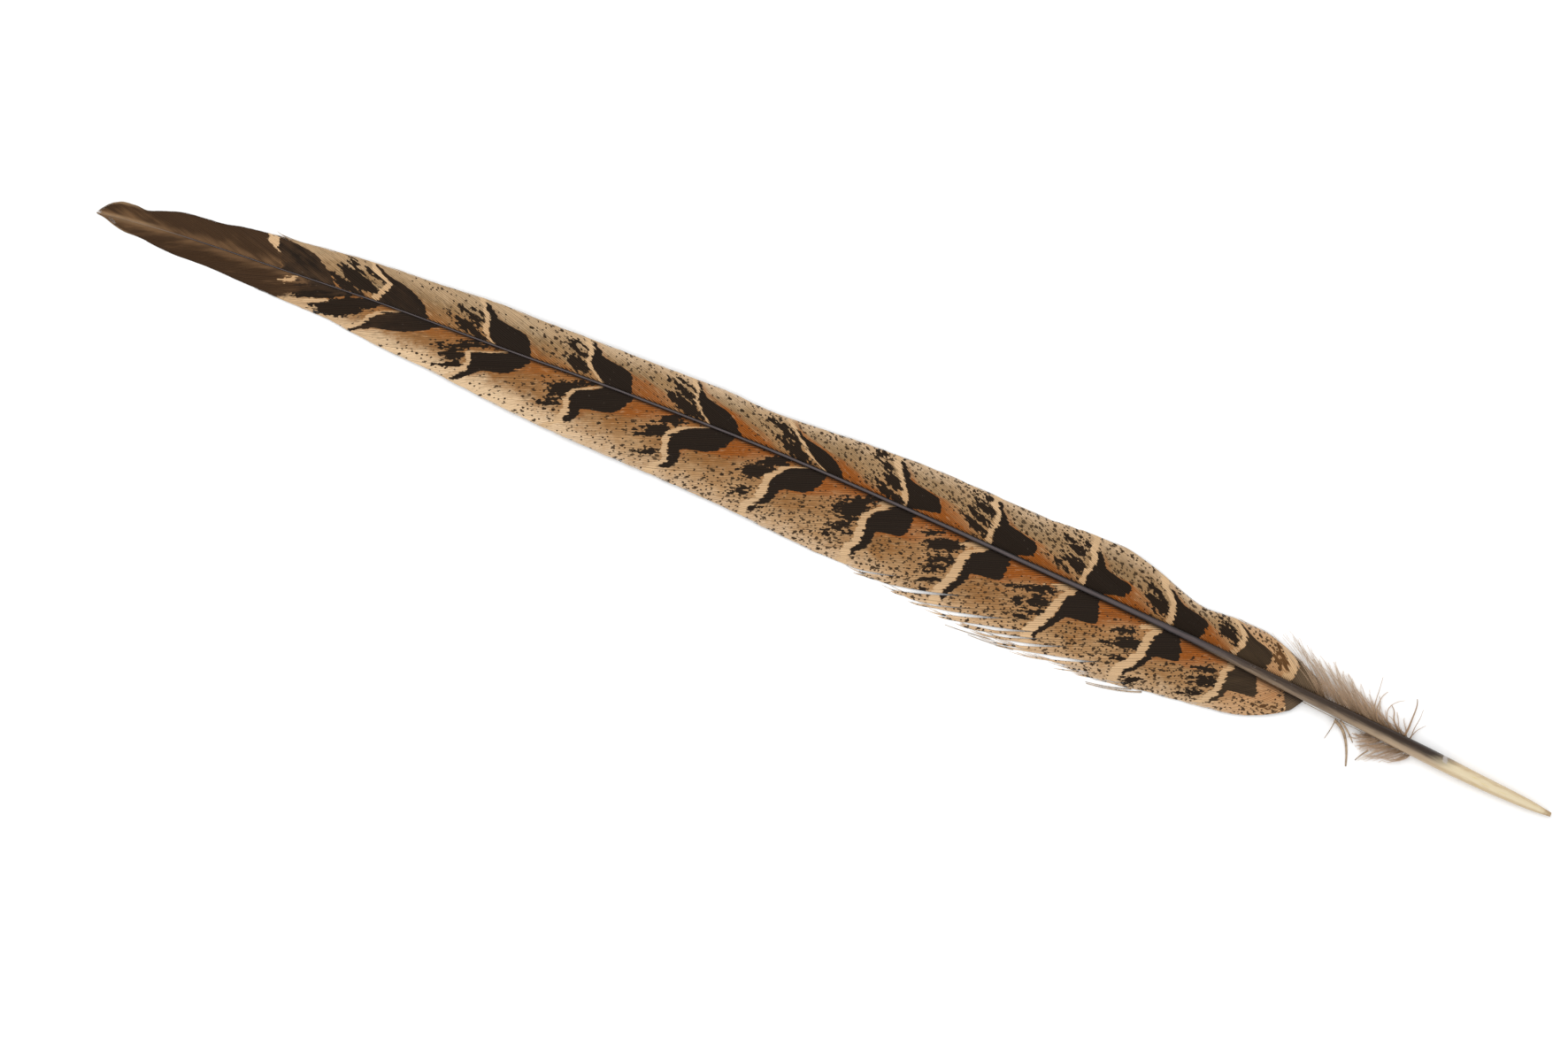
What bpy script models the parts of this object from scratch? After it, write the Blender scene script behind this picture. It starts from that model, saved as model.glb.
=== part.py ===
"""A hen pheasant's tail feather, lying with its outer side up on a flat surface.

Metres, +Z up. The feather lies along X, its tip at -X and its quill at +X, with the narrow vane towards +Y
and the broad vane towards -Y. The origin is the middle of the footprint, on the surface that it rests on.
"""

import math

import bmesh
import bpy
import numpy as np

MM = 0.001
LENGTH = 280.0  # mm, from the tip of the vane to the end of the quill
GAP = 0.3  # mm, between the shaft and what grows from it
SHAFT_SIDES = 12  # flats round the shaft; one of them faces down
SHAFT_STEP = 4.0  # mm between the shaft's sections
VANE_STEP = 4.0  # mm between a vane's rows
VANE_THICK = 0.40
DOWN_THICK = 0.70
DEEPEST = 0.35  # how far up the shaft's side, as a share of its depth, the lowest barbs leave it

# The shaft, from the tip: distance, sideways bow, width, depth, and height of its underside, in mm.
SHAFT = (
    (0.0, -0.6, 0.16, 0.14, 0.35),
    (6.0, 0.3, 0.20, 0.18, 0.50),
    (16.0, 1.4, 0.22, 0.20, 0.85),
    (35.0, 2.7, 0.26, 0.28, 1.50),
    (54.0, 3.9, 0.32, 0.40, 2.00),
    (73.0, 4.6, 0.40, 0.55, 2.40),
    (101.0, 5.8, 0.52, 0.80, 2.80),
    (129.0, 6.3, 0.62, 1.05, 3.00),
    (158.0, 5.8, 0.80, 1.30, 2.90),
    (176.0, 5.2, 1.00, 1.50, 2.60),
    (195.0, 4.6, 1.20, 1.75, 2.10),
    (214.0, 3.7, 1.55, 2.00, 1.45),
    (231.5, 2.5, 2.10, 2.30, 0.80),
    (243.0, 1.8, 2.45, 2.50, 0.35),
    (256.0, 0.9, 2.80, 2.70, 0.00),
    (266.0, 0.2, 2.50, 2.40, 0.00),
    (275.0, -0.2, 1.85, 1.75, 0.12),
    (280.0, -0.4, 0.80, 0.80, 0.45),
)
# Each vane's width from the shaft's middle to its edge, by distance from the tip, in mm.
NARROW_EDGE = (
    (0.8, 0.8),
    (6.0, 3.0),
    (16.0, 4.5),
    (35.0, 5.8),
    (54.0, 6.8),
    (73.0, 7.3),
    (101.0, 6.9),
    (129.0, 6.8),
    (144.0, 7.9),
    (158.0, 8.6),
    (176.0, 8.9),
    (195.0, 9.9),
    (203.0, 7.4),
    (209.0, 6.1),
    (217.0, 6.9),
    (231.5, 7.0),
)
BROAD_EDGE = (
    (0.8, 0.8),
    (6.0, 2.4),
    (16.0, 3.9),
    (35.0, 5.1),
    (54.0, 7.1),
    (73.0, 9.3),
    (101.0, 11.7),
    (129.0, 13.1),
    (158.0, 14.5),
    (176.0, 15.2),
    (195.0, 13.7),
    (205.0, 12.2),
    (214.0, 10.4),
    (220.0, 9.1),
    (225.7, 7.2),
    (229.5, 4.5),
    (231.3, 2.0),
)
NARROW_DIAGONAL = 15.0  # mm by which the narrow vane's edge stops short of its root, where down takes over
EDGE_RISE = 0.8  # mm, the most that a vane's edge lifts off the surface
EDGE_DOWN_AT = (12.0, 178.0)  # mm from the tip, where both edges touch the surface
DROOP_POWER = 1.5  # how late a vane bends down, going out from the shaft

NARROW_DOWN_ROOT = (232.6, 251.5)  # mm from the tip, where the downy barbs leave the shaft
NARROW_DOWN_TIPS = ((218.5, 7.6), (226.0, 8.2), (243.0, 9.0), (254.0, 8.0))  # distance, width
BROAD_DOWN_ROOT = (244.5, 252.5)
BROAD_DOWN_TIPS = ((241.6, 3.0), (243.5, 7.0), (247.0, 6.6), (252.0, 4.4))
LOOSE_ROOT = (237.4, 239.4)
LOOSE_TIPS = ((236.8, 5.2), (240.0, 7.6), (243.8, 8.4))

SHAFT_COLOUR = (0.055, 0.045, 0.042, 1.0)
NARROW_COLOUR = (0.40, 0.26, 0.14, 1.0)
BROAD_COLOUR = (0.46, 0.29, 0.15, 1.0)
DOWN_COLOUR = (0.33, 0.28, 0.23, 1.0)
BARB_COLOUR = (0.24, 0.18, 0.13, 1.0)


def through(table, column, at):
    """A smooth curve through one column of a table, which never swings past its own points."""
    x = np.array([row[0] for row in table])
    y = np.array([row[column] for row in table])
    at = np.clip(np.asarray(at, float), x[0], x[-1])
    step = np.diff(x)
    slope = np.diff(y) / step
    same_way = slope[:-1] * slope[1:] > 0
    middle = np.zeros(len(slope) - 1)
    middle[same_way] = 2 / (1 / slope[:-1][same_way] + 1 / slope[1:][same_way])
    tangent = np.concatenate([slope[:1], middle, slope[-1:]])
    k = np.clip(np.searchsorted(x, at, side="right") - 1, 0, len(step) - 1)
    t = (at - x[k]) / step[k]
    h = step[k]
    return (
        (2 * t**3 - 3 * t**2 + 1) * y[k]
        + (t**3 - 2 * t**2 + t) * h * tangent[k]
        + (3 * t**2 - 2 * t**3) * y[k + 1]
        + (t**3 - t**2) * h * tangent[k + 1]
    )


def shaft_bow(d):
    return through(SHAFT, 1, d)


def shaft_half_width(d):
    return through(SHAFT, 2, d) / 2


def root_height(d):
    """Where the barbs leave the shaft, above the surface."""
    depth = through(SHAFT, 3, d)
    return through(SHAFT, 4, d) + DEEPEST * depth


def edge_height(d):
    """A vane's edge touches the surface at two places and lifts a little between and beyond them."""
    near, far = EDGE_DOWN_AT
    return EDGE_RISE * np.sin(math.pi * (d - near) / (far - near)) ** 2


def footprint_middle():
    """Half way between the two vanes' outermost edges, in mm from the line that the bow is measured from."""
    d = np.linspace(0, LENGTH, 561)
    narrow_end = NARROW_EDGE[-1][0]
    highest = (shaft_bow(d) + through(NARROW_EDGE, 1, d))[d < narrow_end].max()
    lowest = (shaft_bow(d) - through(BROAD_EDGE, 1, d))[d < BROAD_EDGE[-1][0]].min()
    return (highest + lowest) / 2


def placed(d, y, z):
    """A point given by its distance from the tip, its sideways place and its height, in metres in the frame."""
    return ((d - LENGTH / 2) * MM, (y - footprint_middle()) * MM, z * MM)


def material(name, colour, roughness):
    made = bpy.data.materials.new(name)
    made.use_nodes = True
    shader = made.node_tree.nodes["Principled BSDF"]
    shader.inputs["Base Color"].default_value = colour
    shader.inputs["Roughness"].default_value = roughness
    shader.inputs["Metallic"].default_value = 0.0
    return made


def add_object(name, mesh_builder, finish, collection):
    mesh = bpy.data.meshes.new(name)
    mesh_builder.to_mesh(mesh)
    mesh_builder.free()
    mesh.materials.append(finish)
    made = bpy.data.objects.new(name, mesh)
    collection.objects.link(made)
    return made


def section(d):
    """The shaft's outline at a distance from the tip: an ellipse with one flat underneath."""
    half_width = float(shaft_half_width(d))
    half_depth = float(through(SHAFT, 3, d)) / 2
    under = float(through(SHAFT, 4, d))
    flat = math.cos(math.pi / SHAFT_SIDES)
    middle = under + half_depth * flat
    angles = [(2 * k + 1) * math.pi / SHAFT_SIDES - math.pi / 2 for k in range(SHAFT_SIDES)]
    bow = float(shaft_bow(d))
    return [
        placed(d, bow + half_width * math.cos(a), middle + half_depth * math.sin(a)) for a in angles
    ]


def build_shaft(finish, collection):
    """Quill and shaft in one: a loft through sections that change from round to deep and narrow."""
    steps = round(LENGTH / SHAFT_STEP)
    builder = bmesh.new()
    rings = []
    for i in range(steps + 1):
        rings.append([builder.verts.new(p) for p in section(LENGTH * i / steps)])
    for near, far in zip(rings, rings[1:]):
        for k in range(SHAFT_SIDES):
            after = (k + 1) % SHAFT_SIDES
            builder.faces.new((near[k], near[after], far[after], far[k]))
    builder.faces.new(rings[0][::-1])
    builder.faces.new(rings[-1])
    bmesh.ops.recalc_face_normals(builder, faces=builder.faces)
    made = add_object("shaft", builder, finish, collection)
    made.data.shade_smooth()
    return made


def build_web(name, rows, columns, place, side, thick, finish, collection):
    """A thin closed web: a grid bent to its place, given its thickness upwards.

    place(along, out) gives a point for along and out from 0 to 1, where out = 0 is beside the shaft.
    """
    builder = bmesh.new()
    bmesh.ops.create_grid(builder, x_segments=rows, y_segments=columns, size=0.5)
    for vertex in builder.verts:
        vertex.co = place(vertex.co.x + 0.5, vertex.co.y + 0.5)
    made = add_object(name, builder, finish, collection)
    solid = made.modifiers.new("thickness", "SOLIDIFY")
    solid.thickness = thick * MM
    solid.offset = side
    solid.use_even_offset = True
    return made


def vane_place(edge, side, diagonal):
    """Where a vane's underside runs: beside the shaft at the root, bending down to the surface at its edge."""
    start, end = edge[0][0], edge[-1][0]

    def place(along, out):
        d = start + along * (end - diagonal * out - start)
        inner = float(shaft_half_width(d)) + GAP
        outer = float(through(edge, 1, d))
        width = inner + (outer - inner) * out
        top, low = float(root_height(d)), float(edge_height(d))
        return placed(d, float(shaft_bow(d)) + side * width, top + (low - top) * out**DROOP_POWER)

    return place


def fan_place(root, tips, side, tip_height):
    """A fan of barbs from a stretch of the shaft out to a curved row of tips."""
    row = [(i / (len(tips) - 1), *tip) for i, tip in enumerate(tips)]

    def place(along, out):
        d_root = root[0] + along * (root[1] - root[0])
        d_tip, width_tip = float(through(row, 1, along)), float(through(row, 2, along))
        d = d_root + (d_tip - d_root) * out
        inner = float(shaft_half_width(d_root)) + GAP
        width = inner + (width_tip - inner) * out
        top = float(root_height(d_root))
        return placed(d, float(shaft_bow(d_root)) + side * width, top + (tip_height - top) * out)

    return place


def main():
    for old in list(bpy.data.objects):
        bpy.data.objects.remove(old)
    feather = bpy.data.collections.new("pheasant_tail_feather")
    bpy.context.scene.collection.children.link(feather)
    narrow, broad = 1, -1

    build_shaft(material("horn", SHAFT_COLOUR, 0.3), feather)
    for name, edge, side, diagonal, colour in (
        ("narrow_vane", NARROW_EDGE, narrow, NARROW_DIAGONAL, NARROW_COLOUR),
        ("broad_vane", BROAD_EDGE, broad, 0.0, BROAD_COLOUR),
    ):
        rows = round((edge[-1][0] - edge[0][0]) / VANE_STEP)
        place = vane_place(edge, side, diagonal)
        build_web(name, rows, 6, place, side, VANE_THICK, material(name, colour, 0.6), feather)

    down = material("down", DOWN_COLOUR, 0.9)
    for name, root, tips, side in (
        ("narrow_side_down", NARROW_DOWN_ROOT, NARROW_DOWN_TIPS, narrow),
        ("broad_side_down", BROAD_DOWN_ROOT, BROAD_DOWN_TIPS, broad),
    ):
        place = fan_place(root, tips, side, 0.1)
        build_web(name, 8, 4, place, side, DOWN_THICK, down, feather)

    barbs = material("barbs", BARB_COLOUR, 0.7)
    place = fan_place(LOOSE_ROOT, LOOSE_TIPS, broad, 0.1)
    build_web("loose_barbs", 4, 4, place, broad, VANE_THICK, barbs, feather)


main()
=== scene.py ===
"""A hen pheasant's tail feather, lying with its outer side up on a pale surface.

Every barb of the two vanes is a thin closed ribbon laid side by side with the next. The bars, eye marks and
speckles are worked out barb by barb, so that their edges step from one barb to the next. Lengths are in mm
until a mesh is made. d is the distance from the feather's tip along its axis, and w the distance from the
middle of the shaft.
"""

import math

import bpy
import numpy as np
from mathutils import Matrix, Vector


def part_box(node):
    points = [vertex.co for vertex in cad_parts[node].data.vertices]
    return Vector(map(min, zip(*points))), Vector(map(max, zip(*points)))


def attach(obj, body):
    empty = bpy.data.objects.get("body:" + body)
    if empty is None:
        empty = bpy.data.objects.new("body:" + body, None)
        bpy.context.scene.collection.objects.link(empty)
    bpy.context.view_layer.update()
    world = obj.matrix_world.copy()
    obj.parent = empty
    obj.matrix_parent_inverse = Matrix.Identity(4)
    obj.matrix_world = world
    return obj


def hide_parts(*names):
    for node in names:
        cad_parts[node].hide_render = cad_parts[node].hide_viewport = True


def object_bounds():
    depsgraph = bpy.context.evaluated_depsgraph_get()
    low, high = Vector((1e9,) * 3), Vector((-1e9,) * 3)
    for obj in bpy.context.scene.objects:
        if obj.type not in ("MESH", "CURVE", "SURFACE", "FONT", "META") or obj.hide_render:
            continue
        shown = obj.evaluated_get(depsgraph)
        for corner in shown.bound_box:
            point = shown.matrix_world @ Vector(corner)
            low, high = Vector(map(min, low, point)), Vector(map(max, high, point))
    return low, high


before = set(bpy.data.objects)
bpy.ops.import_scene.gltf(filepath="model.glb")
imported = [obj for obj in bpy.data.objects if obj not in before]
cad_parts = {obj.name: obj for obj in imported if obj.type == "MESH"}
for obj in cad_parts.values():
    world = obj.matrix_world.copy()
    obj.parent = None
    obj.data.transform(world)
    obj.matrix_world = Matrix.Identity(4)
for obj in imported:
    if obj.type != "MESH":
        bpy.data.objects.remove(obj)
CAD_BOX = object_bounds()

MM = 0.001
LENGTH = 280.0
NARROW, BROAD = 1.0, -1.0  # the side of the shaft, as the sign of Y

# The shaft, from the tip: distance, sideways bow, width, depth, and height of its underside.
SHAFT = (
    (0.0, -0.6, 0.16, 0.14, 0.35),
    (6.0, 0.3, 0.20, 0.18, 0.50),
    (16.0, 1.4, 0.22, 0.20, 0.85),
    (35.0, 2.7, 0.26, 0.28, 1.50),
    (54.0, 3.9, 0.32, 0.40, 2.00),
    (73.0, 4.6, 0.40, 0.55, 2.40),
    (101.0, 5.8, 0.52, 0.80, 2.80),
    (129.0, 6.3, 0.62, 1.05, 3.00),
    (158.0, 5.8, 0.80, 1.30, 2.90),
    (176.0, 5.2, 1.00, 1.50, 2.60),
    (195.0, 4.6, 1.20, 1.75, 2.10),
    (214.0, 3.7, 1.55, 2.00, 1.45),
    (231.5, 2.5, 2.10, 2.30, 0.80),
    (243.0, 1.8, 2.45, 2.50, 0.35),
    (256.0, 0.9, 2.80, 2.70, 0.00),
    (266.0, 0.2, 2.50, 2.40, 0.00),
    (275.0, -0.2, 1.85, 1.75, 0.12),
    (280.0, -0.4, 0.80, 0.80, 0.45),
)
# Each vane's width from the shaft's middle to its edge, by distance from the tip.
NARROW_EDGE = (
    (0.0, 0.3), (0.7, 1.3), (2.0, 2.5), (4.0, 3.1), (6.0, 3.0), (8.0, 2.65), (10.0, 3.15), (15.0, 4.2),
    (21.0, 4.4), (25.0, 5.0), (30.0, 5.45), (35.0, 5.8), (54.0, 6.7), (60.0, 6.8), (73.0, 7.35),
    (82.0, 7.1), (101.0, 6.85), (115.0, 6.95), (124.0, 6.5), (132.0, 6.9), (144.0, 7.9), (158.0, 8.6),
    (176.0, 8.8), (186.0, 9.6), (195.0, 9.9), (203.0, 7.4), (209.0, 6.1), (217.0, 6.9), (222.0, 6.9),
    (225.5, 6.3), (229.0, 5.3), (233.0, 3.7), (236.0, 1.9),
)
BROAD_EDGE = (
    (0.0, 0.15), (1.0, 0.35), (4.0, 1.6), (6.0, 2.2), (8.5, 2.4), (12.0, 3.1), (16.0, 3.65), (21.0, 3.8),
    (27.0, 4.3), (35.0, 5.0), (45.0, 5.75), (50.0, 6.6), (56.0, 7.4), (65.0, 8.1), (73.0, 9.1),
    (84.0, 10.4), (92.0, 11.1), (101.0, 11.6), (120.0, 12.4), (134.0, 13.3), (150.0, 13.8), (160.0, 14.5),
    (176.0, 15.2), (195.0, 13.7), (205.0, 12.0), (214.0, 10.3), (220.0, 9.0), (225.7, 7.1), (229.5, 4.4),
    (231.3, 2.0),
)
DEEPEST = 0.35  # how far up the shaft's side, as a share of its depth, the lowest barbs leave it
EDGE_RISE = 0.8  # the most that a vane's edge lifts off the surface
EDGE_DOWN_AT = (12.0, 178.0)  # distances from the tip where both edges touch the surface
DROOP_POWER = 1.5  # how late a vane bends down, going out from the shaft

# The angle in degrees between a barb and the feather's axis, by where it leaves the shaft.
NARROW_LEAN = (
    (0.0, 6.0), (10.0, 10.0), (30.0, 14.0), (60.0, 16.0), (150.0, 17.0), (200.0, 19.0), (216.0, 22.0),
    (226.0, 34.0), (236.0, 52.0),
)
BROAD_LEAN = (
    (0.0, 6.0), (10.0, 11.0), (30.0, 17.0), (50.0, 20.0), (200.0, 20.5), (212.0, 24.0), (220.0, 30.0),
    (226.0, 39.0), (229.5, 50.0), (231.8, 62.0),
)
CURL = ((205.0, 0.0), (218.0, 0.12), (234.0, 0.42))  # the share of its lean that a barb loses, by its root
CURL_LENGTH = 14.0  # how far along the barb it loses it
# Where the barbs leave the shaft, and how far apart they are there.
NARROW_STEPS = (
    (1.2, 0.62), (15.0, 0.78), (45.0, 0.97), (195.0, 0.97), (212.0, 0.70), (226.0, 0.48), (235.4, 0.40),
)
BROAD_STEPS = (
    (1.2, 0.62), (15.0, 0.75), (45.0, 0.9), (202.0, 0.88), (212.0, 0.60), (221.0, 0.38), (231.6, 0.26),
)

# The bars of each vane. A cream line lies on the tip side of each, and black on the other side of the line.
# Each row: the line's distance from the tip at each station out from the shaft, where the black ends beside
# the shaft and at its shoulder, how far out the shoulder is, the width of the black tail beyond it and how
# far out that ends, the width of the cream line, and how much sooner black ends right beside the shaft.
BROAD_STATIONS = (0.4, 1.5, 2.7, 4.5, 6.5, 8.5, 10.5)
BROAD_BARS = (
    ((37.8, 37.4, 36.4, 35.0, 33.5, 32.5, 31.5), 47.0, 39.0, 3.2, 0.0, 4.4, -1.0, 0.0),
    ((57.2, 54.2, 52.8, 51.5, 48.8, 47.0, 45.5), 64.3, 57.6, 4.0, 2.0, 6.4, 1.2, 0.0),
    ((77.5, 74.5, 71.2, 71.9, 70.8, 69.0, 67.5), 81.7, 78.7, 4.3, 2.4, 8.2, 1.1, 0.0),
    ((95.7, 93.5, 91.2, 90.5, 91.2, 90.7, 88.5), 101.1, 98.6, 4.6, 2.6, 8.7, 1.1, 0.0),
    ((115.9, 113.0, 111.0, 109.6, 110.0, 110.8, 109.0), 120.5, 117.4, 4.8, 2.8, 9.9, 1.2, 0.0),
    ((134.9, 132.0, 130.5, 129.2, 129.2, 128.9, 127.2), 138.2, 136.3, 4.9, 2.4, 9.7, 1.4, 0.0),
    ((151.6, 150.0, 148.7, 147.6, 147.8, 148.0, 147.0), 155.1, 155.1, 5.1, 2.3, 11.7, 1.5, 0.0),
    ((169.8, 168.7, 167.0, 166.5, 166.4, 165.9, 164.9), 173.8, 174.2, 5.0, 2.0, 12.0, 1.7, 0.0),
    ((187.0, 186.6, 185.6, 185.1, 184.6, 183.7, 182.6), 191.0, 193.2, 5.1, 2.0, 11.8, 1.8, 0.0),
    ((203.7, 203.2, 202.7, 202.5, 202.2, 201.4, 199.7), 207.0, 209.3, 4.9, 1.7, 11.4, 1.8, 0.0),
    ((217.9, 217.7, 217.2, 217.3, 217.2, 216.0, 214.5), 222.0, 224.2, 4.6, 1.1, 9.3, 1.4, 0.0),
    ((227.4, 227.8, 228.6, 229.4, 229.8, 230.0, 230.0), 236.0, 236.0, 9.0, 0.0, 9.8, 0.0, 0.0),
)
NARROW_STATIONS = (0.4, 1.3, 2.3, 3.5, 4.7, 5.8, 7.0)
NARROW_BARS = (
    ((34.6, 34.0, 33.2, 32.2, 31.8, 31.4, 31.0), 44.3, 38.6, 4.9, 2.6, 5.5, -1.0, 0.0),
    ((52.5, 52.8, 53.1, 53.9, 51.7, 50.2, 49.0), 62.0, 57.2, 4.4, 1.5, 6.0, 1.5, 0.0),
    ((74.7, 73.0, 72.6, 72.4, 71.9, 71.0, 70.0), 81.2, 79.6, 3.9, 1.8, 6.5, 1.2, 0.0),
    ((95.2, 93.7, 92.3, 91.6, 91.5, 90.9, 90.0), 100.3, 99.2, 4.0, 1.9, 6.7, 1.1, 0.0),
    ((115.5, 114.2, 113.1, 112.0, 111.7, 111.0, 110.0), 121.2, 117.6, 3.8, 1.3, 6.4, 1.0, 0.0),
    ((137.6, 135.4, 133.8, 132.1, 130.5, 129.2, 128.0), 141.0, 136.9, 3.7, 1.3, 5.3, 0.9, 0.0),
    ((153.2, 153.0, 152.6, 151.9, 151.0, 150.3, 149.3), 159.2, 158.9, 4.2, 1.8, 8.0, 1.2, 5.5),
    ((169.6, 169.3, 169.2, 169.4, 169.6, 169.4, 168.3), 177.0, 177.6, 4.2, 1.6, 8.0, 1.3, 3.0),
    ((187.4, 187.5, 187.6, 187.9, 188.2, 188.1, 187.5), 194.2, 196.6, 4.1, 2.2, 7.4, 1.3, 4.0),
    ((204.6, 204.6, 204.6, 204.5, 204.1, 202.9, 201.5), 210.0, 211.7, 4.2, 1.8, 6.4, 1.4, 0.0),
    ((217.0, 217.4, 218.1, 218.3, 218.0, 216.9, 214.5), 223.0, 224.2, 4.4, 1.4, 6.3, 1.3, 0.0),
    ((227.6, 228.0, 228.5, 228.6, 227.8, 226.5, 225.0), 240.0, 240.0, 9.0, 0.0, 9.8, 2.0, 0.0),
)
# The broken dark marks on the tip side of each cream line: distance, width, and half the length and breadth.
BROAD_EYES = (
    (43.5, 1.2, 5.2, 1.1), (46.6, 3.0, 4.6, 1.5), (50.5, 0.8, 4.8, 0.6), (48.8, 1.9, 3.6, 0.8),
    (70.0, 1.7, 3.7, 0.35), (68.8, 3.9, 2.7, 0.8), (69.0, 5.8, 2.3, 0.40), (70.5, 0.8, 3.0, 0.20),
    (89.3, 3.0, 2.9, 1.1), (91.0, 1.3, 2.9, 0.35), (87.3, 6.3, 1.7, 0.50), (88.0, 5.3, 1.8, 0.25),
    (108.8, 1.6, 2.0, 0.9), (107.0, 4.0, 2.5, 1.1), (104.8, 5.6, 1.3, 0.50), (107.2, 8.0, 1.7, 0.35),
    (128.6, 1.5, 2.0, 0.9), (126.4, 4.3, 3.0, 1.3), (124.8, 8.7, 1.8, 0.50), (127.5, 10.8, 1.3, 0.35),
    (145.5, 1.8, 3.1, 0.6), (144.5, 3.8, 3.0, 1.1), (144.3, 6.6, 1.1, 0.40), (143.2, 7.8, 1.3, 0.60),
    (145.3, 8.1, 1.0, 0.3), (141.6, 9.7, 0.7, 0.40), (145.0, 5.2, 2.0, 0.45),
    (162.2, 3.1, 3.3, 1.1), (159.2, 2.0, 1.3, 0.5), (162.3, 5.6, 2.4, 0.55), (162.2, 7.4, 2.1, 0.45),
    (161.0, 8.6, 1.0, 0.3), (162.3, 9.6, 2.0, 0.25), (161.0, 12.4, 0.9, 0.40),
    (181.3, 3.1, 2.7, 0.6), (177.3, 4.2, 1.4, 0.35), (181.8, 5.2, 2.4, 0.60), (181.5, 7.1, 2.2, 0.50),
    (179.3, 9.0, 1.0, 0.5), (177.6, 6.6, 0.6, 0.7), (182.0, 10.8, 1.0, 0.25),
    (197.5, 3.6, 1.9, 0.6), (198.8, 5.5, 2.3, 1.1), (198.5, 8.4, 2.0, 0.40), (195.0, 7.0, 0.7, 0.40),
    (202.0, 11.2, 1.5, 0.4), (200.0, 9.8, 0.8, 0.3),
    (213.6, 3.8, 2.0, 0.45), (214.0, 5.8, 2.3, 0.8), (213.2, 8.4, 1.0, 0.45), (210.8, 9.5, 0.7, 0.30),
    (225.8, 5.0, 1.5, 0.28),
)
NARROW_EYES = (
    (48.3, 2.5, 4.2, 1.1), (50.3, 4.4, 2.1, 0.40), (45.5, 5.6, 1.2, 0.35), (47.0, 4.3, 1.5, 0.25),
    (46.5, 0.9, 5.2, 0.7),
    (69.3, 1.4, 3.3, 0.6), (70.0, 2.9, 2.3, 0.60), (67.0, 4.2, 1.6, 0.30), (70.5, 4.5, 1.3, 0.30),
    (89.7, 2.0, 2.4, 1.0), (88.8, 4.2, 2.2, 0.45), (88.5, 5.6, 1.5, 0.25),
    (110.0, 1.8, 3.4, 1.1), (110.0, 3.7, 2.5, 0.35), (107.8, 4.6, 1.6, 0.25), (109.5, 5.3, 1.5, 0.20),
    (131.5, 1.4, 3.5, 0.8), (129.5, 3.9, 2.7, 0.60), (130.5, 2.6, 1.9, 0.35), (125.5, 5.1, 0.9, 0.40),
    (149.0, 1.6, 2.7, 0.7), (149.6, 3.4, 2.3, 1.0), (147.3, 5.7, 1.3, 0.60), (145.7, 7.1, 1.1, 0.50),
    (166.0, 2.2, 2.5, 0.7), (166.5, 3.8, 2.3, 0.6), (166.0, 6.0, 1.9, 0.65), (166.3, 7.7, 1.3, 0.40),
    (185.0, 3.4, 2.5, 0.9), (181.8, 2.6, 2.1, 0.3), (184.3, 6.0, 1.4, 0.50), (185.5, 7.6, 0.9, 0.45),
    (182.3, 7.0, 1.1, 0.35), (201.0, 3.1, 2.7, 1.2), (200.0, 5.1, 1.4, 0.40), (202.0, 5.8, 0.9, 0.30),
    (215.0, 3.8, 2.0, 0.9), (214.0, 5.2, 1.1, 0.35),
    (225.3, 3.3, 1.6, 0.55), (224.6, 4.5, 1.3, 0.25), (224.0, 5.6, 0.9, 0.25),
)
# Cream blots near the tip, in the same terms.
BROAD_BLOTS = (
    (36.4, 1.2, 1.5, 0.45), (38.6, 1.5, 0.9, 0.25), (43.0, 2.9, 1.2, 0.25), (40.8, 3.6, 1.0, 0.25),
    (149.2, 0.8, 1.9, 0.35), (167.0, 1.0, 2.1, 0.45), (184.6, 1.1, 2.2, 0.50), (201.6, 1.0, 1.6, 0.40),
)
NARROW_BLOTS = ((31.3, 4.7, 1.3, 0.75), (32.9, 3.3, 1.5, 0.35), (34.4, 2.2, 0.8, 0.25))
NARROW_MARK_LEAN, BROAD_MARK_LEAN = 17.0, 21.0  # the lean of the ellipses, in degrees
# Where the broad vane's edge is frayed: place along the edge, the parting's width, and how far along the
# barbs it opens, as a share of their length.
FRAYED = [
    (146.5, 0.8, 0.66), (153.6, 1.7, 0.58), (156.8, 0.5, 0.76), (159.4, 1.0, 0.66), (162.4, 1.4, 0.58),
    (165.2, 0.5, 0.76), (167.7, 2.0, 0.58), (170.5, 1.9, 0.60), (173.5, 1.9, 0.56), (176.4, 0.9, 0.70),
    (179.4, 2.0, 0.54), (184.0, 0.8, 0.66), (188.0, 0.5, 0.76),
]
# The split in the narrow vane, in the same terms.
NARROW_SPLIT = [(198.5, 0.55, 0.45), (196.8, 0.25, 0.6), (203.0, 0.12, 0.5)]
# Small partings at random places: how far apart they are, how wide, and where they open.
SMALL_PARTINGS = ((3, 9), (0.02, 0.10), (0.3, 0.8))
WORN_PARTINGS = ((2, 6), (0.05, 0.22), (0.6, 0.9))
# How uneven the barbs' ends are, as a share of the vane's width, by distance from the tip.
NARROW_RAGGED = ((0, 0.004), (180, 0.006), (192, 0.015), (205, 0.006), (218, 0.02))
BROAD_RAGGED = ((0, 0.004), (140, 0.006), (152, 0.035), (192, 0.04), (200, 0.008))
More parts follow.
